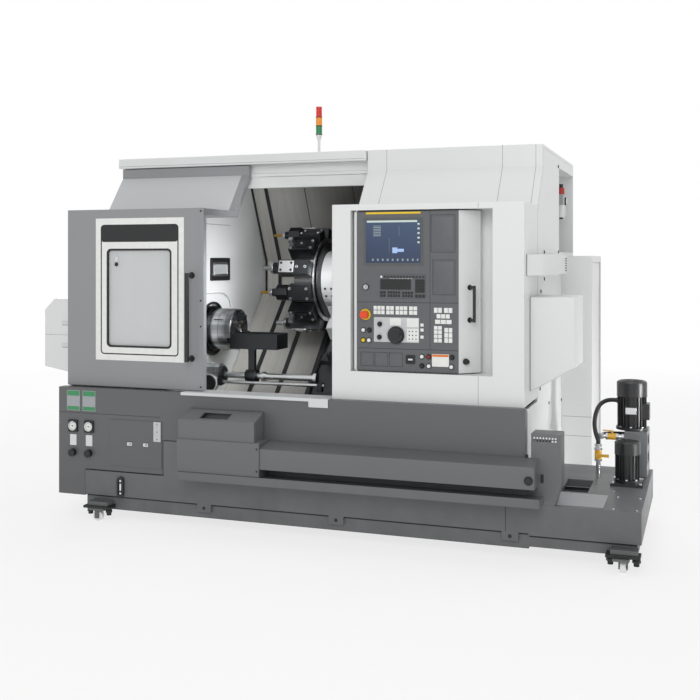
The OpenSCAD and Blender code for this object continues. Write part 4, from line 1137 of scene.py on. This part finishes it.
def makeCabinet(spec):
    low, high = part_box("rear_cabinet")
    thick = spec["frontHigh"]
    x0, x1 = spec["front"][:2]
    plates = Piece("cabinetPlates").on("front", low.y)
    plates.plate(spec["front"], 0.004, 0.0, thick, whitePaint)
    for z in spec["seams"]:
        plates.line((x0, x1, z - 0.0015, z + 0.0015), thick + 0.0004, paleSeam, thick)
    plates.on("right", high.x - spec["sideIn"]).plate(spec["side"], 0.004, 0.0, 0.004, whitePaint)
    plates.on("front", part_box("cylinder_cover")[0].y)
    for area in spec["louvres"]:
        x0, x1, z = area[:3]
        plates.plate(area, 0.002, -0.002, 0.006, lightPaint, 0.3)
        plates.line((x0 + 0.005, x1 - 0.005, z - 0.0025, z - 0.0002), 0.0005, seamShadow)
    plates.line(spec["coverSeam"], 0.0004, paleSeam)
    plates.done("root", "white_paint", bevel=0.001)
    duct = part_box("cable_duct")[1].x
    blockRows("ductVents", "right", duct, spec["slots"], (1, 6), spec["slotSize"], seamShadow, "root",
              0.0005)


# Air unit: x and z from its block's upper right edge; turned forms are x, y, radius, low, high, finish, sides
airSet = {"out": 0.022, "blocks": (((-0.040, 0.628, -0.030), (0.016, 0.700, 0.038)),
                                   ((-0.030, 0.700, -0.016), (0.004, 0.840, 0.016))),
          "knob": (0.0, 0.655, 0.022, 0.038, 0.080),
          "turned": ((0.0, 0.655, 0.013, 0.080, 0.104, blackPlastic, 20),
                     (0.0, 0.655, 0.022, -0.112, -0.030, whitePlastic, 28),
                     (0.0, 0.655, 0.012, -0.122, -0.112, blackPlastic, 20),
                     (-0.012, 0.800, 0.022, -0.096, -0.016, lightPaint, 28)),
          "gauge": 0.790, "gaugeFace": 0.004}


def makeAirUnit(spec):
    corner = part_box("air_unit")[1]
    right, top = corner.x + spec["out"], corner.z
    air = Piece("airFittings").on("top", top)
    for low, high in spec["blocks"]:
        air.box((right + low[0], low[1], top + low[2]), (right + high[0], high[1], top + high[2]), lightPlate)
    x, y, radius, low, high = spec["knob"]
    air.disc((right + x, y), radius, low, high, fittingRed, 0.06, 24)
    for x, y, radius, low, high, finish, sides in spec["turned"]:
        air.disc((right + x, y), radius, low, high, finish, sides=sides)
    air.on("right", right + spec["gaugeFace"]).disc((spec["gauge"], top), 0.026, 0.0, 0.012, blackPlastic)
    air.disc((spec["gauge"], top), 0.021, 0.012, 0.0135, whitePlastic)
    air.done("root", "black_plastic", bevel=0.001)


makeSheets(bodySet)
makeCabinet(cabinetSet)
makeAirUnit(airSet)
print("sheets seamed")

# Pumps: motor plate, terminal box, gaps and vents of the motors, nuts on the pipework, bolts on their flanges
pumpSet = {"boxes": (((1.691, -0.0835, 0.628), (1.759, -0.070, 0.676), motorPaint),
                     ((1.696, -0.0847, 0.634), (1.754, -0.0835, 0.670), brightSteel),
                     ((1.775, -0.045, 0.600), (1.823, 0.045, 0.690), motorPaint)),
           "pumps": {"tallBolts": {"at": (1.725, 0.0), "radius": 0.084, "gap": 0.727, "top": 0.815,
                                   "bolts": 0.080, "flange": 0.554},
                     "shortBolts": {"at": (1.722, -0.300), "radius": 0.068, "gap": 0.4506, "top": 0.521,
                                    "bolts": 0.065, "flange": 0.315}},
           "riser": (1.552, -0.150), "riserNuts": ((0.374, 0.021), (0.436, 0.023), (0.456, 0.020)),
           "pipe": (-0.090, 0.505), "pipeNuts": ((1.588, 0.020), (1.646, 0.020), (1.676, 0.019)),
           "feet": (1.652, 1.792, -0.370, -0.230), "footZ": 0.301}


def makePumps(spec):
    trim = Piece("pumpFittings")
    for low, high, finish in spec["boxes"]:
        trim.box(low, high, finish)
    for pump in spec["pumps"].values():
        at, radius = pump["at"], pump["radius"]
        trim.on("top", pump["gap"]).hoop(at, radius + 0.0006, radius - 0.004, 0.0, 0.003, seamShadow, 48)
        trim.on("top", pump["top"])
        for k in range(4):
            inset = 0.17 * k
            trim.hoop(at, radius * (0.78 - inset), radius * (0.70 - inset), -0.001, 0.0012, seamShadow)
    for z, radius in spec["riserNuts"]:
        trim.on("top", z).disc(spec["riser"], radius, 0.0, 0.012, steel, sides=6)
    for x, radius in spec["pipeNuts"]:
        trim.on("right", x).disc(spec["pipe"], radius, 0.0, 0.012, steel, sides=6)
    trim.done("root", "motor_paint", bevel=0.0008)
    for name, pump in spec["pumps"].items():
        circleMarks(name, "top", pump["flange"], pump["at"], 8, pump["bolts"], (0.012, 0.012, 0.008), steel,
                    "root", 0.0015)
    screwRows("pumpFeet", "top", spec["footZ"], spec["feet"], (2, 2), 0.009, steel, "root", 0.008, 6)


# Caster jacks: a plate and a block over each wheel, a bolt with a nut at each side
casterSet = {"casters": ((-1.180, -0.960), (1.750, -0.960)), "bolts": (-0.061, 0.061), "boltBack": 0.012,
             "plate": ((-0.082, -0.034, 0.076), (0.082, 0.048, 0.090)),
             "block": ((-0.060, -0.020, 0.090), (0.070, 0.048, 0.112))}


def makeCasters(spec):
    jacks = Piece("casterJacks").on("top")
    for x, y in spec["casters"]:
        for part, finish in (("plate", blackPlastic), ("block", tankPaint)):
            jacks.box(*((x + px, y + py, z) for px, py, z in spec[part]), finish)
        for side in spec["bolts"]:
            bolt = (x + side, y + spec["boltBack"])
            jacks.disc(bolt, 0.014, 0.034, 0.076, blackSteel, sides=20)
            jacks.disc(bolt, 0.021, 0.050, 0.064, blackPlastic, sides=6)
    jacks.done("root", "motor_paint", bevel=0.001)


# Drive cover of the conveyor: lamps in two rows, dark squares in the bottoms of its holes as painted shade,
# latch and lever, and the cover's end knob
driveSet = {"lamp": (0.0085, 0.0085, 0.003), "lampIn": 0.004,
            "rows": {"driveLamps": ((1.3195, 1.4245, 0.6185, 0.6185), (8, 1)),
                     "driveLampsLow": ((1.4095, 1.4245, 0.6045, 0.6045), (2, 1))},
            "squares": (1.3345, 1.3495, 1.3645, 1.3795, 1.3945), "squareZ": 0.6045, "squareHalf": 0.0045,
            "knob": (1.312, 0.430), "latch": (1.352, 1.366, 0.398, 0.440),
            "lever": (1.276, 1.290, 0.496, 0.534)}


def makeDrive(spec):
    boxFront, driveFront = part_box("parts_box")[0].y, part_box("parts_box")[1].y
    inset, half = spec["lampIn"], spec["squareHalf"]
    for name, (area, counts) in spec["rows"].items():
        blockRows(name, "front", driveFront + inset, area, counts, spec["lamp"], whitePlastic, "root",
                  0.0006)
    knob = Piece("conveyorKnob").on("front", boxFront)
    knob.disc(spec["knob"], 0.022, 0.0, 0.004, blackPlastic)
    knob.disc(spec["knob"], 0.017, 0.004, 0.012, blackPlastic, 0.12)
    knob.on("front", driveFront).plate(spec["latch"], 0.005, 0.0, 0.008, blackPlastic)
    knob.plate(spec["lever"], 0.004, 0.0, 0.010, blackPlastic)
    # painted shade: dark squares at the bottoms of the square holes
    for x in spec["squares"]:
        knob.line(around(x, spec["squareZ"], half, half), -0.0032, seamShadow, -inset)
    knob.done("root", "black_plastic", bevel=0.001)


# Signal tower: a dark band under each lens
bandSet = {"at": (-0.200, 0.025), "levels": (2.2975, 2.353, 2.408), "radii": (0.0212, 0.0185), "tall": 0.005}


def makeBands(spec):
    tower = Piece("towerBands")
    for z in spec["levels"]:
        tower.on("top", z).hoop(spec["at"], *spec["radii"], 0.0, spec["tall"], blackPlastic)
    tower.done("root", "black_plastic", bevel=0.0005)


# Tank: holes in the lugs, a seam, shadow under its step, lid and bolts, and the lower half of the parts box
tankSet = {"lugs": ((-0.5175, 0.118), (0.2675, 0.118), (1.1975, 0.118)),
           "seam": (1.1735, 1.1765, 0.142, 0.278),
           "steps": ((-1.285, 1.286, 0.129, 0.140), (1.292, 1.812, 0.119, 0.130)), "stepIn": 0.018,
           "topZ": 0.287, "lid": (1.336, 1.650, -0.900, -0.620), "bolts": (1.700, 1.810, -0.905, -0.640),
           "bar": ((1.400, -0.420, 0.262), (1.540, -0.396, 0.276)),
           "shell": (-0.612, -0.1195, 0.346, 0.524), "shellHigh": 0.007,
           "shellScrews": ((-0.1315, 0.376), (-0.1315, 0.494))}


def makeTank(spec):
    boxFront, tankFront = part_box("parts_box")[0].y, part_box("parts_box")[1].y
    high, inset = spec["shellHigh"], spec["stepIn"]
    top = spec["topZ"]
    screwRows("tankBolts", "top", top, spec["bolts"], (2, 2), 0.007, steel, "root", 0.005, 6)
    trim = Piece("tankTrim").on("front", tankFront)
    for lug in spec["lugs"]:
        trim.disc(lug, 0.010, 0.0, 0.0006, seamShadow, sides=20)
    trim.line(spec["seam"], 0.0005, seamShadow)
    # painted shadow: dark strips set back under the tank's step
    for area in spec["steps"]:
        trim.line(area, 0.0005 - inset, seamShadow, -inset)
    trim.on("top", top).plate(spec["lid"], 0.006, 0.0, 0.003, lightPlate)
    trim.box(*spec["bar"], blackPlastic)
    trim.on("front", boxFront).line(spec["shell"], high, tankPaint)
    for screw in spec["shellScrews"]:
        trim.disc(screw, 0.005, high, high + 0.003, blackPlastic, sides=16)
    trim.done("root", "dark_paint", bevel=0.002)


makePumps(pumpSet)
makeCasters(casterSet)
makeDrive(driveSet)
makeBands(bandSet)
makeTank(tankSet)
print("tank end fitted")

# Floor: pale, with the object's shadow near it, fading to white far out
stageSet = {"half": 30.0, "near": 3.2, "far": 9.0, "white": 0.74, "sky": 0.52}


def makeFloor(spec):
    half = spec["half"]
    data = bpy.data.meshes.new("floor")
    corners = [(-half, -half, 0), (half, -half, 0), (half, half, 0), (-half, half, 0)]
    data.from_pydata(corners, [], [(0, 1, 2, 3)])
    floor = bpy.data.objects.new("floor", data)
    scene.collection.objects.link(floor)
    f = Finish("paleFloor")
    reach = ((f.x * f.x + f.y * f.y) ** 0.5 - spec["near"]) / (spec["far"] - spec["near"])
    share = spec["white"] + reach.clamp() * (1 - spec["white"])
    colour = f.mix(tint("#f2f2f1"), tint("#f5f5f4"), f.noise(3, 2.0))
    shader = f.value("ShaderNodeBsdfDiffuse", {}, {"Color": colour})
    white = f.value("ShaderNodeEmission", {}, {"Strength": 1.0})
    both = f.value("ShaderNodeMixShader", {}, {0: share, 1: shader, 2: white})
    f.node("ShaderNodeOutputMaterial", {}, {0: both})
    data.materials.append(f.material)


# World: white where it is seen, by itself or in metal and glass, and dimmer as a light
def makeWorld(spec):
    world = bpy.data.worlds.new("studio")
    scene.world = world
    world.use_nodes = True
    tree = world.node_tree
    tree.nodes.clear()
    rays = addNode(tree, "ShaderNodeLightPath").outputs
    seen = rays["Is Camera Ray"]
    for kind in ("Is Transmission Ray", "Is Glossy Ray"):
        seen = addNode(tree, "ShaderNodeMath", {"operation": "MAXIMUM"}, {0: seen, 1: rays[kind]}).outputs[0]
    strength = addNode(tree, "ShaderNodeMapRange", {}, {"Value": seen, "To Min": spec["sky"], "To Max": 1.0})
    sky = addNode(tree, "ShaderNodeBackground", {}, {"Strength": strength.outputs[0], "Color": (1, 1, 1, 1)})
    addNode(tree, "ShaderNodeOutputWorld", {}, {0: sky.outputs[0]})


# Lamps: place, aim, size in metres, watts and spread in degrees
lampSet = {"keyLamp": ((1.6, -7.4, 4.4), (-0.2, -0.5, 1.0), 3.5, 180, 180),
           "sideLamp": ((6.6, -4.2, 1.0), (1.2, 0.1, 0.6), 2.5, 7, 180),
           "topLamp": ((0.5, 1.0, 6.5), (0.0, 0.0, 1.0), 4.0, 80, 180),
           "rearLamp": ((-4.5, 5.0, 3.5), (0.0, 0.5, 1.0), 3.0, 80, 180),
           "cornerLamp": ((4.8, -0.9, 0.55), (1.3, 0.15, 0.40), 0.6, 3.4, 30),
           "chamberLamp": ((0.05, -0.70, 1.50), (-0.79, -0.20, 1.20), 0.35, 5, 110)}


def makeLamps(lamps):
    for name, (place, aim, size, power, spread) in lamps.items():
        data = bpy.data.lights.new(name, "AREA")
        data.size = size
        data.energy = power
        data.spread = math.radians(spread)
        lamp = bpy.data.objects.new(name, data)
        lamp.location = place
        lamp.visible_camera = False
        lamp.rotation_euler = (Vector(aim) - Vector(place)).to_track_quat("-Z", "Y").to_euler()
        scene.collection.objects.link(lamp)


makeFloor(stageSet)
makeWorld(stageSet)
makeLamps(lampSet)
print("stage set")
